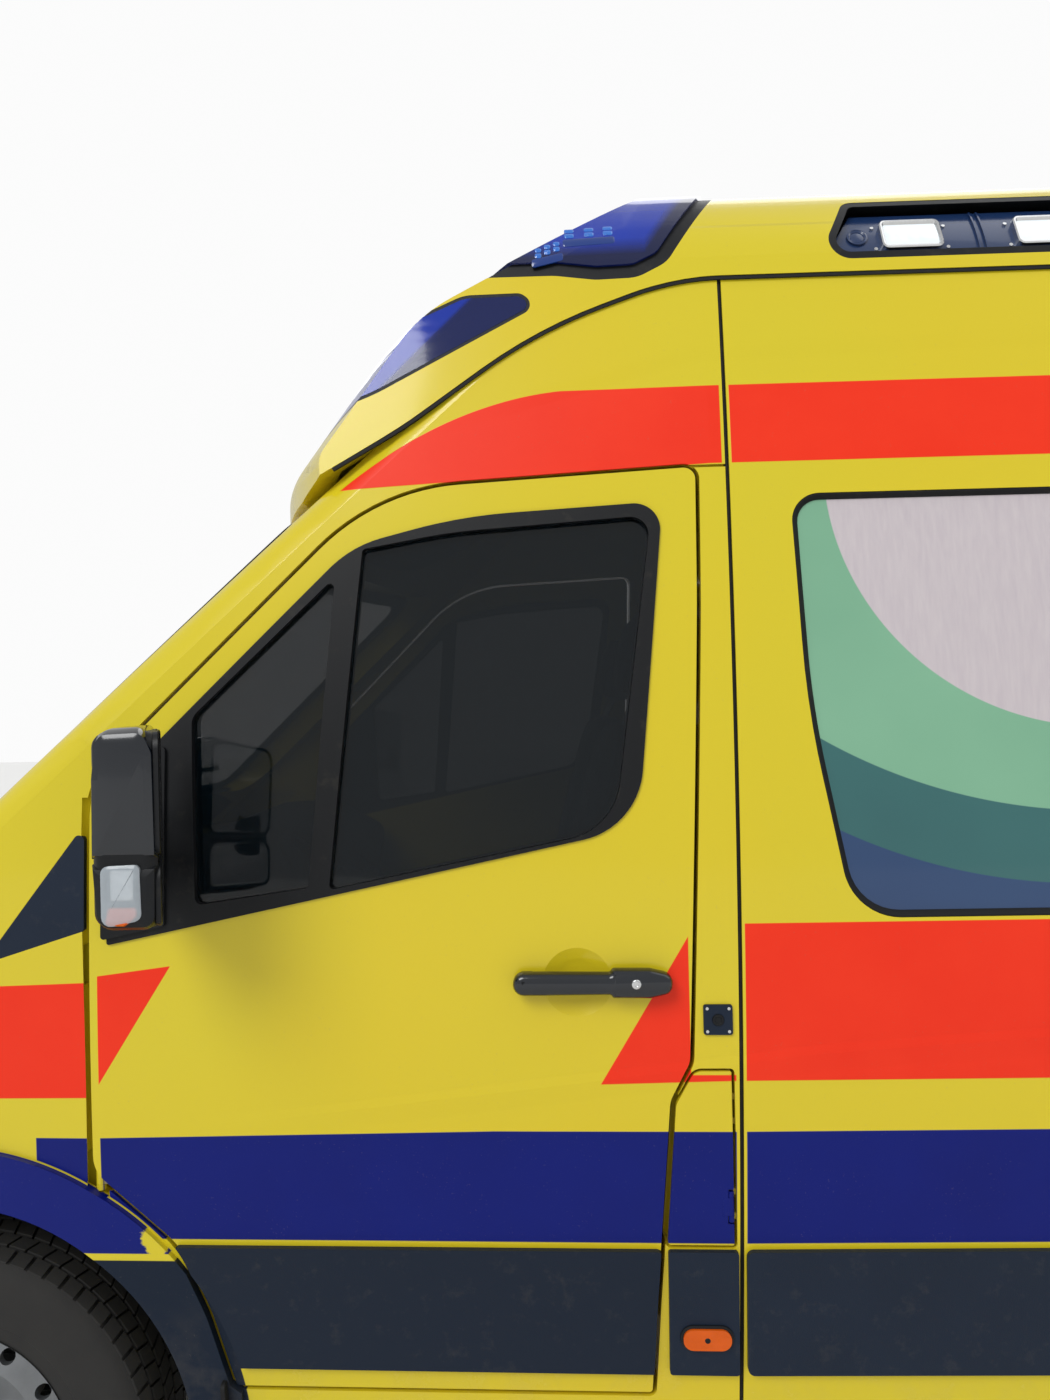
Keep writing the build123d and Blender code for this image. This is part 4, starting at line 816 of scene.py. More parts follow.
def makeMirrors():
    m = mirror
    for side, sign in sides:
        door = f"front_door_{side}"

        def across(x, z, y):
            share = (x - m["front"]) / (m["rear"] - m["front"])
            return Vector((x - (m["tip"] - min(y, m["tip"])) * m["toe"] * share, sign * y, z))

        def behind(y, z, d):
            return Vector((m["rear"] - (m["tip"] - y) * m["toe"] + d, sign * y, z))

        for part, look, corners in m["shells"]:
            single(f"mirror_{part}_shell_{side}", shell, corners, m["levels"], across, look, door, 30)
        lens = rounded(m["lens"], 4)
        single(f"mirror_indicator_{side}", plate, lens, m["lensLevels"], across, "clearLens", door)
        back = box(*m["reflector"], 3)
        single(f"mirror_reflector_{side}", plate, back, m["reflectorLevels"], across, "chrome", door)
        bulb = rounded(m["bulb"], 3)
        single(f"mirror_amber_bulb_{side}", plate, bulb, m["bulbLevels"], across, "amberLens", door)
        for name, low, high in m["glasses"]:
            glass = rounded([
                (m["inner"], low, m["lowRound"]), (m["outer"], low, m["lowRound"]),
                (m["outer"], high, m["highRound"]), (m["inner"], high, m["highRound"]),
            ])
            single(
                f"mirror_glass_{name}_{side}", plate, glass, m["glassLevels"], behind,
                "mirrorGlass", door,
            )
            single(f"mirror_frame_{name}_{side}", gasket, glass, m["frame"], behind, "black", door)


# seals and seams: bars along the side grooves, the cap's edge and the windows
seams = {
    "side": ((-0.593, 0.338), (-0.5675, 2.384)),
    "sideSection": [(-0.0034, -0.011), (-0.0034, -0.004), (0, -0.0025), (0.0034, -0.004), (0.0034, -0.011)],
    "capEdge": [
        (2.915, 2.388, 0), (-0.65, 2.388, 0.5), (-0.9, 2.297, 0.9), (-1.148, 2.117, 0.9), (-1.272, 2.045, 0),
    ],
    "capSection": [(-0.0035, -0.003), (-0.0035, 0.0035), (0, 0.005), (0.0045, 0.0045), (0.0045, -0.003)],
    "capStep": 0.12, "screenStep": 0.06,
    "window": [
        (-0.466, 1.974, 0.05), (-0.456, 1.6, 1.5), (-0.392, 1.249, 0.095),
        (0.76, 1.249, 0.06), (0.76, 1.974, 0.06),
    ],
    "windowProfile": [
        (0.0006, -0.0012), (0.0006, -0.0096), (0.011, -0.0096), (0.009, -0.0062), (0.003, -0.0012),
    ],
    "screen": [(-0.838, 1.34, 0.06), (0.838, 1.34, 0.06), (0.768, 1.972, 0.07), (-0.768, 1.972, 0.07)],
    "screenProfile": [
        (-0.004, -0.002), (-0.004, 0.0015), (0.004, 0.0025), (0.01, -0.0005),
        (0.028, -0.0032), (0.028, -0.0038), (0.001, -0.0042),
    ],
    "rearWindow": [(0.7, 1.33, 0.06), (0.15, 1.33, 0.06), (0.15, 1.96, 0.06), (0.64, 1.96, 0.06)],
    "rearProfile": [
        (0.0006, -0.029), (0.0006, 0.0015), (-0.01, 0.0012), (-0.01, 0.003),
        (0.004, 0.004), (0.01, -0.004), (0.01, -0.021), (0.004, -0.0215),
    ],
}


def makeSeals():
    edge = rounded(seams["capEdge"], 9)
    capEdge = []
    for start, end in zip(edge, edge[1:]):
        capEdge += row(start, end, max(1, round((end - start).length / seams["capStep"])))[:-1]
    capEdge.append(edge[-1])
    window = rounded(seams["window"], 8)
    pane = rounded(seams["rearWindow"], 6)
    seam = row(*seams["side"], 40)
    for side, sign in sides:
        at = onSide(sign)
        single(f"side_seam_{side}", trail, seam, seams["sideSection"], at, "rubber")
        single(f"cap_seal_{side}", trail, capEdge, seams["capSection"], at, "rubber")
        single(f"window_gasket_{side}", gasket, window, seams["windowProfile"], at, "rubber")
        single(
            f"rear_window_gasket_{side}", gasket, pane, seams["rearProfile"], onRear(sign),
            "rubber", f"rear_door_{side}",
        )
    outline = fine(rounded(seams["screen"], 6), seams["screenStep"])
    single("windscreen_seal", gasket, outline, seams["screenProfile"], onScreen, "rubber")


# strip lamps along the roof cap
strip = {
    "deep": -0.02, "thick": 0.004, "from": -0.368, "slant": 0.062, "to": 1.486, "low": 2.431, "tall": 0.11,
    "lamps": (-0.206, 0.04, 0.42, 0.78, 1.14, 1.38), "half": 0.056, "lampLow": 2.4425, "lampHigh": 2.5085,
    "round": 0.012,
    "bezel": [
        (0.0, -0.02), (0.0, -0.0075), (0.002, -0.0055), (0.005, -0.006), (0.008, -0.0105), (0.008, -0.02),
    ],
    "screw": [(dot, -0.0165), (0.0035, -0.0165), (0.0032, -0.018), (0.0032, -0.021)],
    "screwsAside": (-0.066, 0.066), "screwHeights": (2.449, 2.502),
    "button": (-0.303, 2.479), "buttonRing": 0.019, "buttonDisc": 0.0125,
    "buttonProfile": [
        (0.0, -0.0205), (0.0, -0.016), (0.003, -0.015), (0.006, -0.0175), (0.006, -0.0205),
    ],
    "discLevels": [(0.0, -0.0205), (0.0, -0.0178), (0.004, -0.0165)],
    "ribs": (-0.083, -0.07), "ribFrom": 2.436, "ribTo": 2.536,
    "ribSection": [(-0.0015, -0.021), (-0.0015, -0.015), (0.0015, -0.015), (0.0015, -0.021)],
}


def makeStrips():
    shares = [k / 10 for k in range(11)]
    for side, sign in sides:
        at = onCap(sign)
        bm = bmesh.new()
        rings = []
        for k in range(41):
            ring = []
            for depth, order in ((strip["deep"], shares), (strip["deep"] - strip["thick"], shares[::-1])):
                for share in order:
                    left = strip["from"] + strip["slant"] * share
                    x = left + (strip["to"] - left) * k / 40
                    ring.append(at(x, strip["low"] + strip["tall"] * share, depth))
            rings.append(ring)
        skin(bm, rings)
        piece(f"strip_floor_{side}", bm, "stripFloor")
        for index, x in enumerate(strip["lamps"], 1):
            left, right = x - strip["half"], x + strip["half"]
            outline = box(left, right, strip["lampLow"], strip["lampHigh"], strip["round"], 4)
            name = f"strip_bezel_{side}_{index}"
            single(name, gasket, outline, strip["bezel"], at, "chrome")
            bm = bmesh.new()
            for aside in strip["screwsAside"]:
                for z in strip["screwHeights"]:
                    turned(bm, strip["screw"], at(x + aside, z, 0), outward(at, x + aside, z), 10)
            piece(f"strip_screws_{side}_{index}", bm, "chrome")
        bm = bmesh.new()
        gasket(bm, ringOf(*strip["button"], strip["buttonRing"], 28), strip["buttonProfile"], at)
        plate(bm, ringOf(*strip["button"], strip["buttonDisc"], 24), strip["discLevels"], at)
        piece(f"strip_button_{side}", bm, "stripFloor")
        bm = bmesh.new()
        for x in strip["ribs"]:
            trail(bm, row((x, strip["ribFrom"]), (x, strip["ribTo"]), 6), strip["ribSection"], at)
        piece(f"strip_ribs_{side}", bm, "stripFloor")


# beacons: the modules seen through their lenses
beacon = {
    "rows": (
        ("upper", 0.009, ((-0.838, 2.4895), (-0.801, 2.491), (-0.766, 2.4925))),
        ("lower", 0.006, ((-0.896, 2.448), (-0.879, 2.455), (-0.862, 2.461))),
    ),
    "halves": ((-0.011, -0.001), (0.001, 0.01)), "moduleLevels": [(0.0, 0.004), (0.0, 0.0066), (0.003, 0.0078)],
    "trayOver": 0.012, "trayLow": 0.03, "trayHigh": 0.014,
    "trayLevels": [(0.0, 0.004), (0.0, 0.0062), (0.002, 0.007)],
}


def makeBeaconModules():
    over, low, high = (beacon[key] for key in ("trayOver", "trayLow", "trayHigh"))
    for side, sign in sides:
        at = onCap(sign)
        for name, half, places in beacon["rows"]:
            bm = bmesh.new()
            for x, z in places:
                for foot, top in beacon["halves"]:
                    plate(bm, box(x - half, x + half, z + foot, z + top, 0.003, 2), beacon["moduleLevels"], at)
            piece(f"beacon_modules_{name}_{side}", bm, "led", "body")
            (left, leftZ), (right, rightZ) = places[0], places[-1]
            left, right = left - over, right + over
            tray = rounded([
                (left, leftZ - low, 0.004), (right, rightZ - low, 0.004),
                (right, rightZ - high, 0.004), (left, leftZ - high, 0.004),
            ], 2)
            name = f"beacon_tray_{name}_{side}"
            single(name, plate, tray, beacon["trayLevels"], at, "ledTray", "body")


# door handles, lock barrels and the small lock plate
handle = {
    "outline": [
        (-0.962, 1.1325, 0.0175), (-0.962, 1.1695, 0.0175), (-0.915, 1.1695, 0.02), (-0.8, 1.1685, 0.006),
        (-0.796, 1.175, 0.006), (-0.735, 1.1745, 0.03), (-0.698, 1.166, 0.016), (-0.698, 1.136, 0.016),
        (-0.735, 1.1275, 0.03), (-0.796, 1.128, 0.006), (-0.8, 1.1335, 0.006), (-0.915, 1.1325, 0.02),
    ],
    "levels": [(0.004, 0.0105), (0.0, 0.0125), (0.0, 0.026), (0.003, 0.0315), (0.008, 0.0345)],
    "feet": ((-0.955, -0.922), (-0.77, -0.706)), "footLow": 1.136, "footHigh": 1.167,
    "footLevels": [(0.0, -0.002), (0.0, 0.012)],
    "barrel": (-0.758, 1.1525),
    "barrelRows": [
        (dot, 0.0352), (0.003, 0.0352), (0.0034, 0.0366), (0.0066, 0.0368),
        (0.0078, 0.036), (0.0084, 0.0345), (0.0084, 0.03),
    ],
    "plateScrews": ((-0.64, -0.604), (1.066, 1.104)),
    "screwRows": [(dot, 0.0062), (0.0026, 0.006), (0.0034, 0.004), (0.0034, 0.002)],
    "socket": (-0.622, 1.085),
    "socketRows": [
        (dot, 0.0052), (0.005, 0.0052), (0.0062, 0.0066), (0.009, 0.0066), (0.01, 0.005), (0.01, 0.002),
    ],
}


def makeHandles():
    h = handle
    for side, sign in sides:
        at = onSide(sign)
        door = f"front_door_{side}"
        bm = bmesh.new()
        plate(bm, rounded(h["outline"], 5), h["levels"], at)
        for left, right in h["feet"]:
            plate(bm, box(left, right, h["footLow"], h["footHigh"], 0.01, 4), h["footLevels"], at)
        piece(f"door_handle_{side}", bm, "gloss", door, 50)
        bm = bmesh.new()
        turned(bm, h["barrelRows"], at(*h["barrel"], 0), outward(at, *h["barrel"]), 28)
        piece(f"lock_barrel_{side}", bm, "chrome", door)
    at = onSide(-1)
    bm = bmesh.new()
    for x in h["plateScrews"][0]:
        for z in h["plateScrews"][1]:
            turned(bm, h["screwRows"], at(x, z, 0), (0, -1, 0), 12)
    piece("lock_plate_screws", bm, "chrome", "body")
    bm = bmesh.new()
    turned(bm, h["socketRows"], at(*h["socket"], 0), (0, -1, 0), 28)
    piece("lock_plate_socket", bm, "black")


# marker lamps: the black surround and the diode in the middle
marker = {
    "places": (-0.65, 0.95, 2.55), "half": 0.04, "low": 0.531, "high": 0.567, "middle": 0.549, "round": 0.0172,
    "surround": [(0.0002, 0.0108), (-0.005, 0.0108), (-0.0045, 0.0135), (-0.001, 0.015), (0.0002, 0.0145)],
    "diode": [(dot, 0.0205), (0.0035, 0.0203), (0.0048, 0.0192), (0.0048, 0.018)],
}


def makeMarkers():
    for side, sign in sides:
        at = onSide(sign)
        for index, x in enumerate(marker["places"], 1):
            pill = box(x - marker["half"], x + marker["half"], marker["low"], marker["high"], marker["round"], 7)
            bm = bmesh.new()
            gasket(bm, pill, marker["surround"], at)
            turned(bm, marker["diode"], at(x, marker["middle"], 0), (0, sign, 0), 14)
            piece(f"marker_surround_{side}_{index}", bm, "black")


# wheels: carcass, tread blocks, hub cap, bolts and valve. Rows are (radius, distance from the middle)
wheel = {
    "carcass": [
        (0.204, 0.098), (0.212, 0.107), (0.226, 0.1125), (0.24, 0.1135), (0.244, 0.1165), (0.268, 0.1178),
        (0.296, 0.1165), (0.318, 0.1125), (0.33, 0.106), (0.3365, 0.098), (0.337, 0.056), (0.337, 0.0),
    ],
    "inside": [(0.206, -0.06), (0.206, 0.06)],
    "rows": [(-0.0985, -0.066), (-0.06, -0.024), (-0.018, 0.018), (0.024, 0.06), (0.066, 0.0985)],
    "pitches": 64, "outer": 0.3449, "blockFoot": 0.334, "edge": 0.0012, "drop": 0.006, "dropFrom": 0.09,
    "shoulderShare": 0.8, "blockShare": 0.86, "slant": 0.12,
    "track": 0.855, "height": 0.345, "axles": (("front", -1.951), ("rear", 1.714)),
    "cap": [
        (dot, 0.0985), (0.012, 0.098), (0.024, 0.096), (0.031, 0.0925), (0.0345, 0.0895), (0.0345, 0.084),
    ],
    "bolts": 6, "boltCircle": 0.0625,
    "bolt": [
        (dot, 0.085), (0.007, 0.085), (0.0098, 0.0835), (0.0105, 0.0815),
        (0.0105, 0.065), (0.0145, 0.064), (0.0145, 0.061),
    ],
    "valveAt": 0.196,
    "valve": [(dot, 0.106), (0.0032, 0.106), (0.0042, 0.103), (0.0042, 0.092), (0.005, 0.09), (0.006, 0.07)],
}


def onTyre(centre, sign, radius, angle, y):
    return centre + Vector((radius * math.cos(angle), sign * y, radius * math.sin(angle)))


def makeTread(bm, centre, sign):
    w = wheel
    pitch = 2 * math.pi / w["pitches"]
    for index, (inner, outer) in enumerate(w["rows"]):
        shoulder = index in (0, len(w["rows"]) - 1)
        odd = index % 2
        start = pitch * odd / 2
        share = pitch * (w["shoulderShare"] if shoulder else w["blockShare"])
        slant = 0 if shoulder else pitch * w["slant"] * (1 if odd else -1)
        rings = []
        for radius, trim in ((w["blockFoot"], 0), (w["outer"] - w["edge"], 0), (w["outer"], w["edge"])):
            near, far = inner + trim, outer - trim
            corners = (
                (start - slant, near), (start + share - slant, near),
                (start + share + slant, far), (start + slant, far),
            )
            ring = []
            for angle, y in corners:
                rim = radius - (w["drop"] if abs(y) > w["dropFrom"] else 0)
                ring.append(onTyre(centre, sign, rim, angle, y))
            rings.append(ring)
        repeated(bm, rings, centre, w["pitches"])


def makeWheels():
    half = wheel["carcass"]
    profile = half + [(radius, -reach) for radius, reach in half[-2::-1]] + wheel["inside"]
    for end, axleX in wheel["axles"]:
        for side, sign in sides:
            rider = f"wheel_{end}_{side}"
            out = (0, sign, 0)
            centre = Vector((axleX, sign * wheel["track"], wheel["height"]))
            bm = bmesh.new()
            turned(bm, profile, centre, out, 96, loop=True)
            makeTread(bm, centre, sign)
            tyre = piece(f"tread_tyre_{end}_{side}", bm, "tyre", rider, 30)
            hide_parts(f"tyre_{end}_{side}")
            bm = bmesh.new()
            turned(bm, wheel["cap"], centre, out, 40)
            piece(f"hub_cap_{end}_{side}", bm, "black", rider)
            bm = bmesh.new()
            for k in range(wheel["bolts"]):
                angle = 2 * math.pi * (k + 0.5) / wheel["bolts"]
                turned(bm, wheel["bolt"], onTyre(centre, sign, wheel["boltCircle"], angle, 0), out, 6)
            piece(f"wheel_bolts_{end}_{side}", bm, "chrome", rider, 20)
            bm = bmesh.new()
            turned(bm, wheel["valve"], centre + Vector((0, 0, wheel["valveAt"])), out, 12)
            piece(f"valve_{end}_{side}", bm, "black", rider)


# mud flaps behind the wheels
mudFlap = {
    "places": (("front", -1.476), ("rear", 2.188)), "top": 0.44, "lean": 0.06, "step": 0.05,
    "outline": [(0.735, 0.46, 0.01), (0.735, 0.205, 0.03), (0.955, 0.205, 0.03), (0.962, 0.46, 0.01)],
    "levels": [(0.001, -0.004), (0.0, -0.003), (0.0, 0.003), (0.001, 0.004)],
    "ribs": (0.26, 0.3, 0.34), "ribFrom": 0.755, "ribTo": 0.935,
    "ribSection": [(-0.004, 0.003), (-0.002, 0.006), (0.002, 0.006), (0.004, 0.003)],
}


def makeMudFlaps():
    outline = fine(rounded(mudFlap["outline"], 4), mudFlap["step"])
    for side, sign in sides:
        for end, x in mudFlap["places"]:

            def at(y, z, d):
                return Vector((x + d + (mudFlap["top"] - z) * mudFlap["lean"], sign * y, z))

            bm = bmesh.new()
            plate(bm, outline, mudFlap["levels"], at)
            for z in mudFlap["ribs"]:
                trail(bm, row((mudFlap["ribFrom"], z), (mudFlap["ribTo"], z), 4), mudFlap["ribSection"], at)
            piece(f"mud_flap_{end}_{side}", bm, "rubber")


# headlamp insides: bowls, a running-light bar and an indicator. The profile is (share of the radius, depth)
headlamp = {
    "bowls": (
        ("high", 0.7, 0.955, 0.046, "chrome"), ("low", 0.69, 0.845, 0.05, "chrome"),
        ("turn", 0.765, 0.985, 0.03, "amberLens"),
    ),
    "profile": [
        (1, -0.01), (1.06, -0.012), (1.06, -0.04), (0, -0.042), (0.25, -0.038), (0.6, -0.03), (0.9, -0.016),
    ],
    "bar": ((0.63, 0.76), (0.66, 1.04)),
    "barSection": [(-0.005, -0.014), (-0.005, -0.008), (0.005, -0.008), (0.005, -0.014)],
}


def makeHeadlampInsides():
    for side, sign in sides:
        for name, y, z, radius, look in headlamp["bowls"]:
            rows = [(max(dot, radius * share), depth) for share, depth in headlamp["profile"]]
            bm = bmesh.new()
            turned(bm, rows, onNose(sign * y, z, 0), (-1, 0, 0), 32, loop=True)
            piece(f"headlamp_{name}_{side}", bm, look, "body")
        bar = [Vector((sign * point.x, point.y)) for point in row(*headlamp["bar"], 6)]
        single(
            f"running_light_{side}", trail, bar, headlamp["barSection"], onNose,
            "lampWhite", "body",
        )


# wipers on the windscreen: pivot, elbow and tip as (y, z)
wiper = {
    "near": ((-0.6, 1.372), (-0.3, 1.402), (0.14, 1.416)),
    "far": ((0.08, 1.384), (0.32, 1.404), (0.7, 1.418)),
    "armSection": [(-0.008, 0.008), (-0.007, 0.016), (0.007, 0.016), (0.008, 0.008)],
    "blade": (0.3, 0.012),
    "bladeSection": [
        (-0.008, 0.006), (-0.004, 0.011), (0.004, 0.011), (0.008, 0.006),
        (0.0015, 0.004), (0.001, -0.0035), (-0.001, -0.0035), (-0.0015, 0.004),
    ],
    "pivot": [(dot, 0.024), (0.01, 0.023), (0.014, 0.018), (0.014, -0.004)], "pivotAxis": (-0.6, 0, 0.8),
}


def makeWipers():
    for name in ("near", "far"):
        pivot, elbow, tip = wiper[name]
        bm = bmesh.new()
        trail(bm, row(pivot, elbow, 8), wiper["armSection"], onScreen)
        trail(bm, row(Vector(elbow) - Vector(wiper["blade"]), tip, 16), wiper["bladeSection"], onScreen)
        turned(bm, wiper["pivot"], onScreen(*pivot, 0), wiper["pivotAxis"], 20)
        piece(f"wiper_{name}", bm, "black")


# sliding door handle and rail, and the rear doors' fittings
slider = {
    "outline": (-0.47, -0.26, 1.13, 1.172, 0.018),
    "levels": [(0.004, 0.0165), (0.0, 0.018), (0.0, 0.03), (0.004, 0.0345)],
    "feet": ((-0.465, -0.432), (-0.298, -0.265)), "footLow": 1.135, "footHigh": 1.167,
    "footLevels": [(0.0, -0.001), (0.0, 0.019)],
    "rail": ((0.9, 1.18), (2.6, 1.18)),
    "railSection": [
        (-0.022, -0.0005), (-0.022, 0.004), (-0.018, 0.008), (-0.006, 0.008), (-0.004, 0.003),
        (0.004, 0.003), (0.006, 0.008), (0.018, 0.008), (0.022, 0.004), (0.022, -0.0005),
    ],
}
rearFittings = {
    "plate": (-0.115, -0.045, 1.0, 1.23, 0.02), "plateLevels": [(0.0, -0.001), (0.0, 0.004), (0.004, 0.007)],
    "grip": (-0.096, -0.064, 1.02, 1.17, 0.012),
    "gripLevels": [(0.004, 0.02), (0.0, 0.022), (0.0, 0.028), (0.004, 0.031)],
    "feet": (1.035, 1.15), "footSides": (-0.09, -0.07), "footHalf": 0.01,
    "footLevels": [(0.0, 0.006), (0.0, 0.023)],
    "barrel": (-0.08, 1.205), "barrelRows": [(dot, 0.0105), (0.006, 0.0105), (0.0085, 0.0095), (0.0085, 0.006)],
    "overlap": ((-0.0065, 0.62), (-0.0065, 2.31)),
    "overlapSection": [(-0.009, 0.0005), (-0.009, 0.003), (0.004, 0.003), (0.004, 0.0005)],
    "lamp": (-0.21, 0.21, 2.352, 2.378, 0.008), "lampLevels": [(0.0, -0.001), (0.0, 0.01), (0.004, 0.014)],
}


def makeRightAndRear():
    at = onSide(1)
    bm = bmesh.new()
    plate(bm, box(*slider["outline"]), slider["levels"], at)
    for left, right in slider["feet"]:
        plate(bm, box(left, right, slider["footLow"], slider["footHigh"], 0.01, 4), slider["footLevels"], at)
    piece("sliding_door_handle", bm, "gloss", "body", 50)
    rail = row(*slider["rail"], 24)
    single("sliding_door_rail", trail, rail, slider["railSection"], at, "gloss")

    r = rearFittings
    at = onRear(1)
    bm = bmesh.new()
    plate(bm, box(*r["plate"]), r["plateLevels"], at)
    plate(bm, box(*r["grip"], 4), r["gripLevels"], at)
    for z in r["feet"]:
        foot = box(*r["footSides"], z - r["footHalf"], z + r["footHalf"], 0.004, 3)
        plate(bm, foot, r["footLevels"], at)
    piece("rear_door_handle", bm, "gloss", "rear_door_left", 50)
    bm = bmesh.new()
    turned(bm, r["barrelRows"], at(*r["barrel"], 0), (1, 0, 0), 24)
    piece("rear_lock_barrel", bm, "chrome", "rear_door_left")
    strake = row(*r["overlap"], 12)
    single("rear_door_overlap", trail, strake, r["overlapSection"], at, "rubber", "rear_door_left")
    single("high_stop_lamp", plate, box(*r["lamp"], 3), r["lampLevels"], at, "redLens", "body")


# seats: crowned pads on a pedestal, blown up by cloth under pressure, then seamed
seats = {
    "place": 0.47, "cuts": 15, "frames": 12, "pressure": 4.0, "rise": 0.016, "squareness": 7,
    "waistLong": 0.035, "waistWide": 0.03, "seam": 0.007, "seamWidth": 0.006, "cross": (0.42, -0.2),
    "rimAt": 0.62, "rimWidth": 0.005, "rim": 0.0035, "rimFrom": 0.9,
    "base": (-1.262, -0.872, -0.198, 0.198, 0.03),
    "baseLevels": [(0.0, 0.6805), (0.0, 0.7), (0.012, 0.712), (0.016, 0.8), (0.006, 0.812), (0.0, 0.842)],
    "shield": [
        (-1.3, 0.78, 0.02), (-1.31, 0.865, 0.03), (-1.1, 0.87, 0.02), (-0.9, 0.905, 0.05),
        (-0.83, 0.99, 0.03), (-0.79, 0.96, 0.03), (-0.84, 0.79, 0.03),
    ],
    "shieldReaches": (-0.268, 0.252), "shieldLevels": [(0.003, 0), (0.0, 0.003), (0.0, 0.013), (0.003, 0.016)],
    "knob": (-0.88, 0.93, -0.268), "knobRows": [(dot, 0.03), (0.02, 0.03), (0.026, 0.024), (0.028, 0.0)],
    "stalks": (-0.052, 0.052), "stalkFoot": (-0.738, 1.56), "stalkHead": (-0.688, 1.66), "stalkRadius": 0.0065,
}
pads = {
    "cushion": {
        "half": (0.262, 0.25, 0.068), "middle": (-1.07, 0, 0.9), "tilt": 3, "crown": 0.16, "channels": (0.155,),
    },
    "back": {
        "half": (0.35, 0.238, 0.056), "middle": (-0.792, 0, 1.25), "tilt": -75.5, "crown": 0.14,
        "channels": (0.15,),
    },
    "head": {
        "half": (0.088, 0.132, 0.048), "middle": (-0.69, 0, 1.708), "tilt": -78, "crown": 0.1, "channels": (),
    },
}


def padForm(pad):
    bm = bmesh.new()
    bmesh.ops.create_cube(bm, size=2)
    bmesh.ops.subdivide_edges(bm, edges=bm.edges, cuts=seats["cuts"], use_grid_fill=True)
    long, wide, thick = pad["half"]
    power = seats["squareness"]
    for vert in bm.verts:
        u, v, w = vert.co / sum(abs(reach) ** power for reach in vert.co) ** (1 / power)
        u *= 1 - seats["waistLong"] * (1 - v * v)
        v *= 1 - seats["waistWide"] * (1 - u * u)
        swell = 1 + pad["crown"] * (1 - u * u) * (1 - v * v)
        vert.co = Vector((u * long, v * wide, w * thick * swell))
    return bm


def blown(name, bm):
    mesh = bpy.data.meshes.new(name)
    bm.to_mesh(mesh)
    bm.free()
    made = bpy.data.objects.new(name, mesh)
    bpy.context.scene.collection.objects.link(made)
    before = [vert.co.copy() for vert in mesh.vertices]
    cloth = made.modifiers.new("cloth", "CLOTH")
    cloth.settings.use_pressure = True
    cloth.settings.uniform_pressure_force = seats["pressure"]
    cloth.settings.effector_weights.gravity = 0
    cloth.point_cache.frame_start = 1
    cloth.point_cache.frame_end = seats["frames"]
    for number in range(1, seats["frames"] + 1):
        bpy.context.scene.frame_set(number)
    shaped = made.evaluated_get(bpy.context.evaluated_depsgraph_get())
    after = [vert.co.copy() for vert in shaped.data.vertices]
    made.modifiers.clear()
    for vert, old, new in zip(mesh.vertices, before, after):
        move = new - old
        vert.co = old + move * min(1, seats["rise"] / max(move.length, 0.0001))
    bpy.context.scene.frame_set(1)
    return made


def seamed(made, pad):
    modifier = made.modifiers.new("smoother", "SUBSURF")
    modifier.levels = 1
    modifier.render_levels = 1
    finer = bpy.data.meshes.new_from_object(made.evaluated_get(bpy.context.evaluated_depsgraph_get()))
    made.modifiers.clear()
    made.data = finer
    finer.name = made.name
    long, wide, thick = pad["half"]
    for vert in finer.vertices:
        u, v, w = vert.co
        away = [abs(abs(v) - channel) for channel in pad["channels"]]
        if away:
            across = min(abs(u - long * share) for share in seats["cross"])
            away.append(across + max(0, abs(v) - pad["channels"][0]) * 3)
        upper = min(1, max(0, w / thick))
        pull = sum(math.exp(-(gap / seats["seamWidth"]) ** 2) for gap in away) * seats["seam"] * upper
        rim = math.exp(-((w - thick * seats["rimAt"]) / seats["rimWidth"]) ** 2) * seats["rim"]
        vert.co.z -= pull
        vert.co.x -= math.copysign(rim, u) if abs(u) > long * seats["rimFrom"] else 0
        vert.co.y -= math.copysign(rim, v) if abs(v) > wide * seats["rimFrom"] else 0


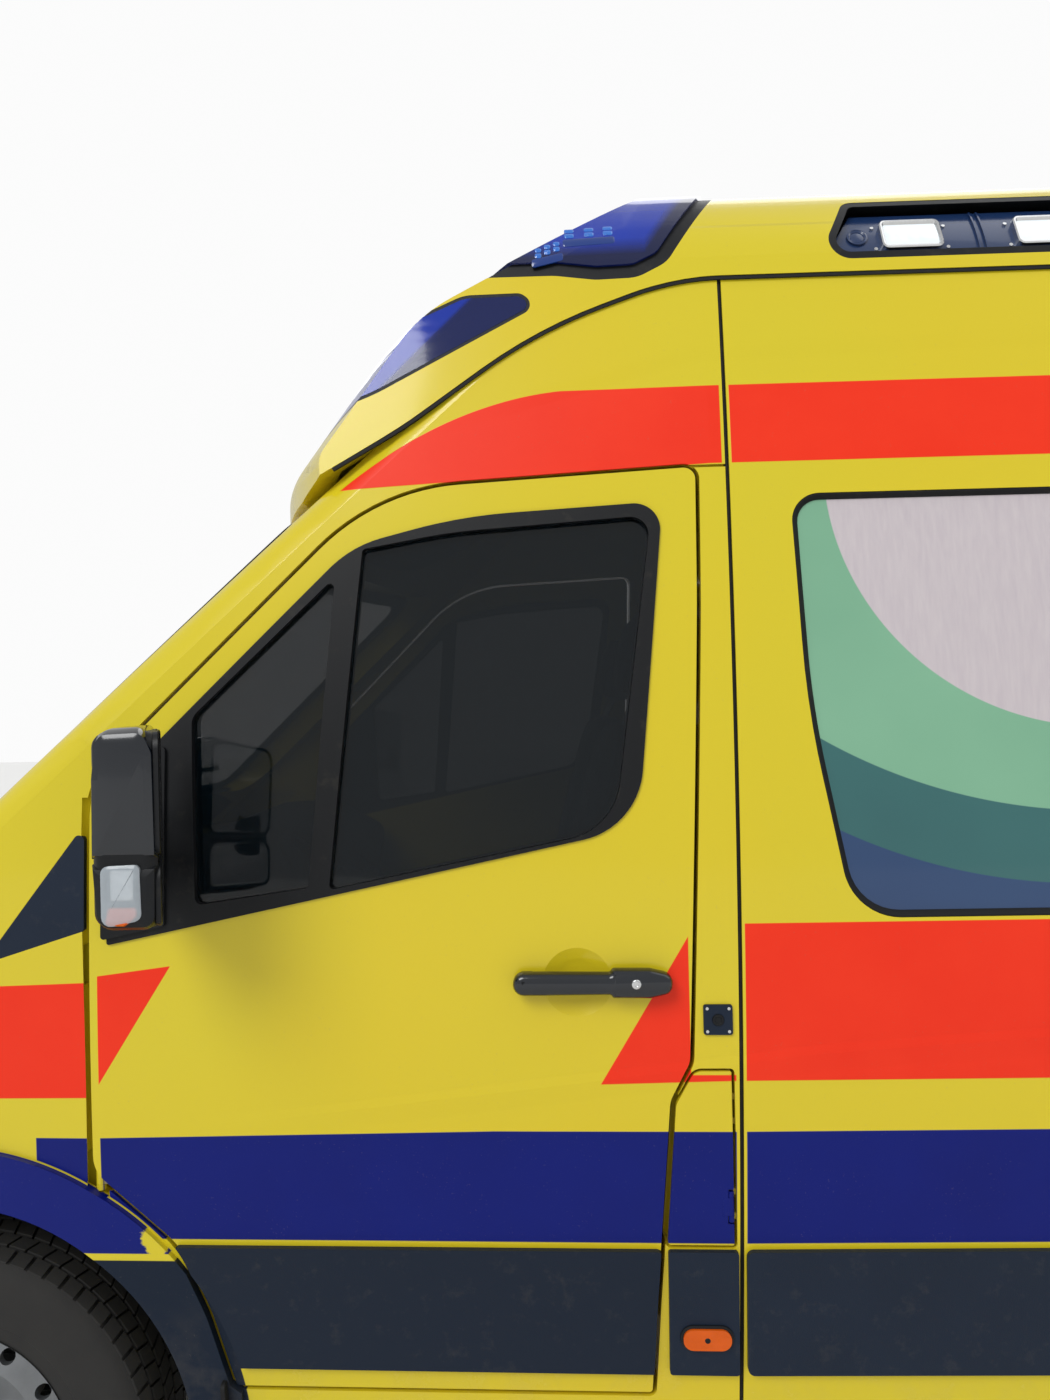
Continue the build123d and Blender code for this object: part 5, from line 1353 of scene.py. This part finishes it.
def makeSeats():
    s = seats
    for side, sign in sides:
        for part, pad in pads.items():
            name = f"seat_{part}_{side}"
            made = blown(name, padForm(pad))
            seamed(made, pad)
            turn = Matrix.Rotation(math.radians(pad["tilt"]), 4, "Y")
            middle = Vector(pad["middle"]) + Vector((0, sign * s["place"], 0))
            made.data.transform(Matrix.Translation(middle) @ turn)
            made.data.materials.append(finishes["cloth"])
            made.data.polygons.foreach_set("use_smooth", [True] * len(made.data.polygons))
            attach(made, "body")
            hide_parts("cab_seats")

        def level(x, y, d):
            return Vector((x, sign * (y + s["place"]), d))

        def upright(x, z, d):
            return Vector((x, sign * (d + s["place"]), z))

        bm = bmesh.new()
        plate(bm, box(*s["base"], 4), s["baseLevels"], level)
        for reach in s["shieldReaches"]:
            levels = [(inward, reach + height) for inward, height in s["shieldLevels"]]
            plate(bm, rounded(s["shield"], 4), levels, upright)
        turned(bm, s["knobRows"], upright(*s["knob"]), (0, -sign, 0), 24)
        piece(f"seat_base_{side}", bm, "grey", "body")
        bm = bmesh.new()
        (footX, footZ), (headX, headZ) = s["stalkFoot"], s["stalkHead"]
        for aside in s["stalks"]:
            y = sign * (s["place"] + aside)
            pipe(bm, row((footX, y, footZ), (headX, y, headZ), 6), s["stalkRadius"], 12)
        piece(f"seat_stalks_{side}", bm, "chrome", "body")


makeMirrors()
makeSeals()
makeStrips()
makeBeaconModules()
makeHandles()
makeMarkers()
print("outer pieces made")
makeWheels()
makeMudFlaps()
makeHeadlampInsides()
makeWipers()
makeRightAndRear()
print("wheels and far sides made")
makeSeats()
print("seats made")

# floor, light and background. Suns are (name, turn in degrees, strength, angle)
studio = {
    "floor": 60.0, "floorColours": ((0.78, 0.78, 0.77), (0.82, 0.82, 0.81)),
    "fill": 0.5, "shine": 0.1, "back": 0.97,
    "suns": (
        ("keySun", (50, 0, -32), 1.55, 30), ("sideSun", (62, 0, 168), 0.7, 50), ("backSun", (40, 0, 90), 0.5, 50),
    ),
}


def makeStudio():
    bm = bmesh.new()
    bmesh.ops.create_grid(bm, x_segments=1, y_segments=1, size=studio["floor"] / 2)
    mesh = bpy.data.meshes.new("floor")
    bm.to_mesh(mesh)
    bm.free()
    floor = bpy.data.objects.new("floor", mesh)
    bpy.context.scene.collection.objects.link(floor)
    look = Finish("floorPale")
    look.set(base=look.noise(2.0, 3).tint(*studio["floorColours"]), rough=0.9)
    mesh.materials.append(look.material)
    for name, turn, power, angle in studio["suns"]:
        data = bpy.data.lights.new(name, "SUN")
        data.energy = power
        data.angle = math.radians(angle)
        lamp = bpy.data.objects.new(name, data)
        lamp.rotation_euler = [math.radians(v) for v in turn]
        bpy.context.scene.collection.objects.link(lamp)
    world = bpy.data.worlds.new("studio")
    bpy.context.scene.world = world
    world.use_nodes = True
    tree = world.node_tree
    back = tree.nodes["Background"]
    path = tree.nodes.new("ShaderNodeLightPath")
    seen = Wire(tree, path.outputs["Is Camera Ray"]).most(Wire(tree, path.outputs["Is Transmission Ray"]))
    glossy = Wire(tree, path.outputs["Is Glossy Ray"])
    power = seen * (studio["back"] - studio["fill"]) + glossy * studio["shine"] + studio["fill"]
    tree.links.new(power.out, back.inputs["Strength"])
    back.inputs["Color"].default_value = (1, 1, 1, 1)
    bpy.context.scene.view_settings.view_transform = "Standard"


makeStudio()
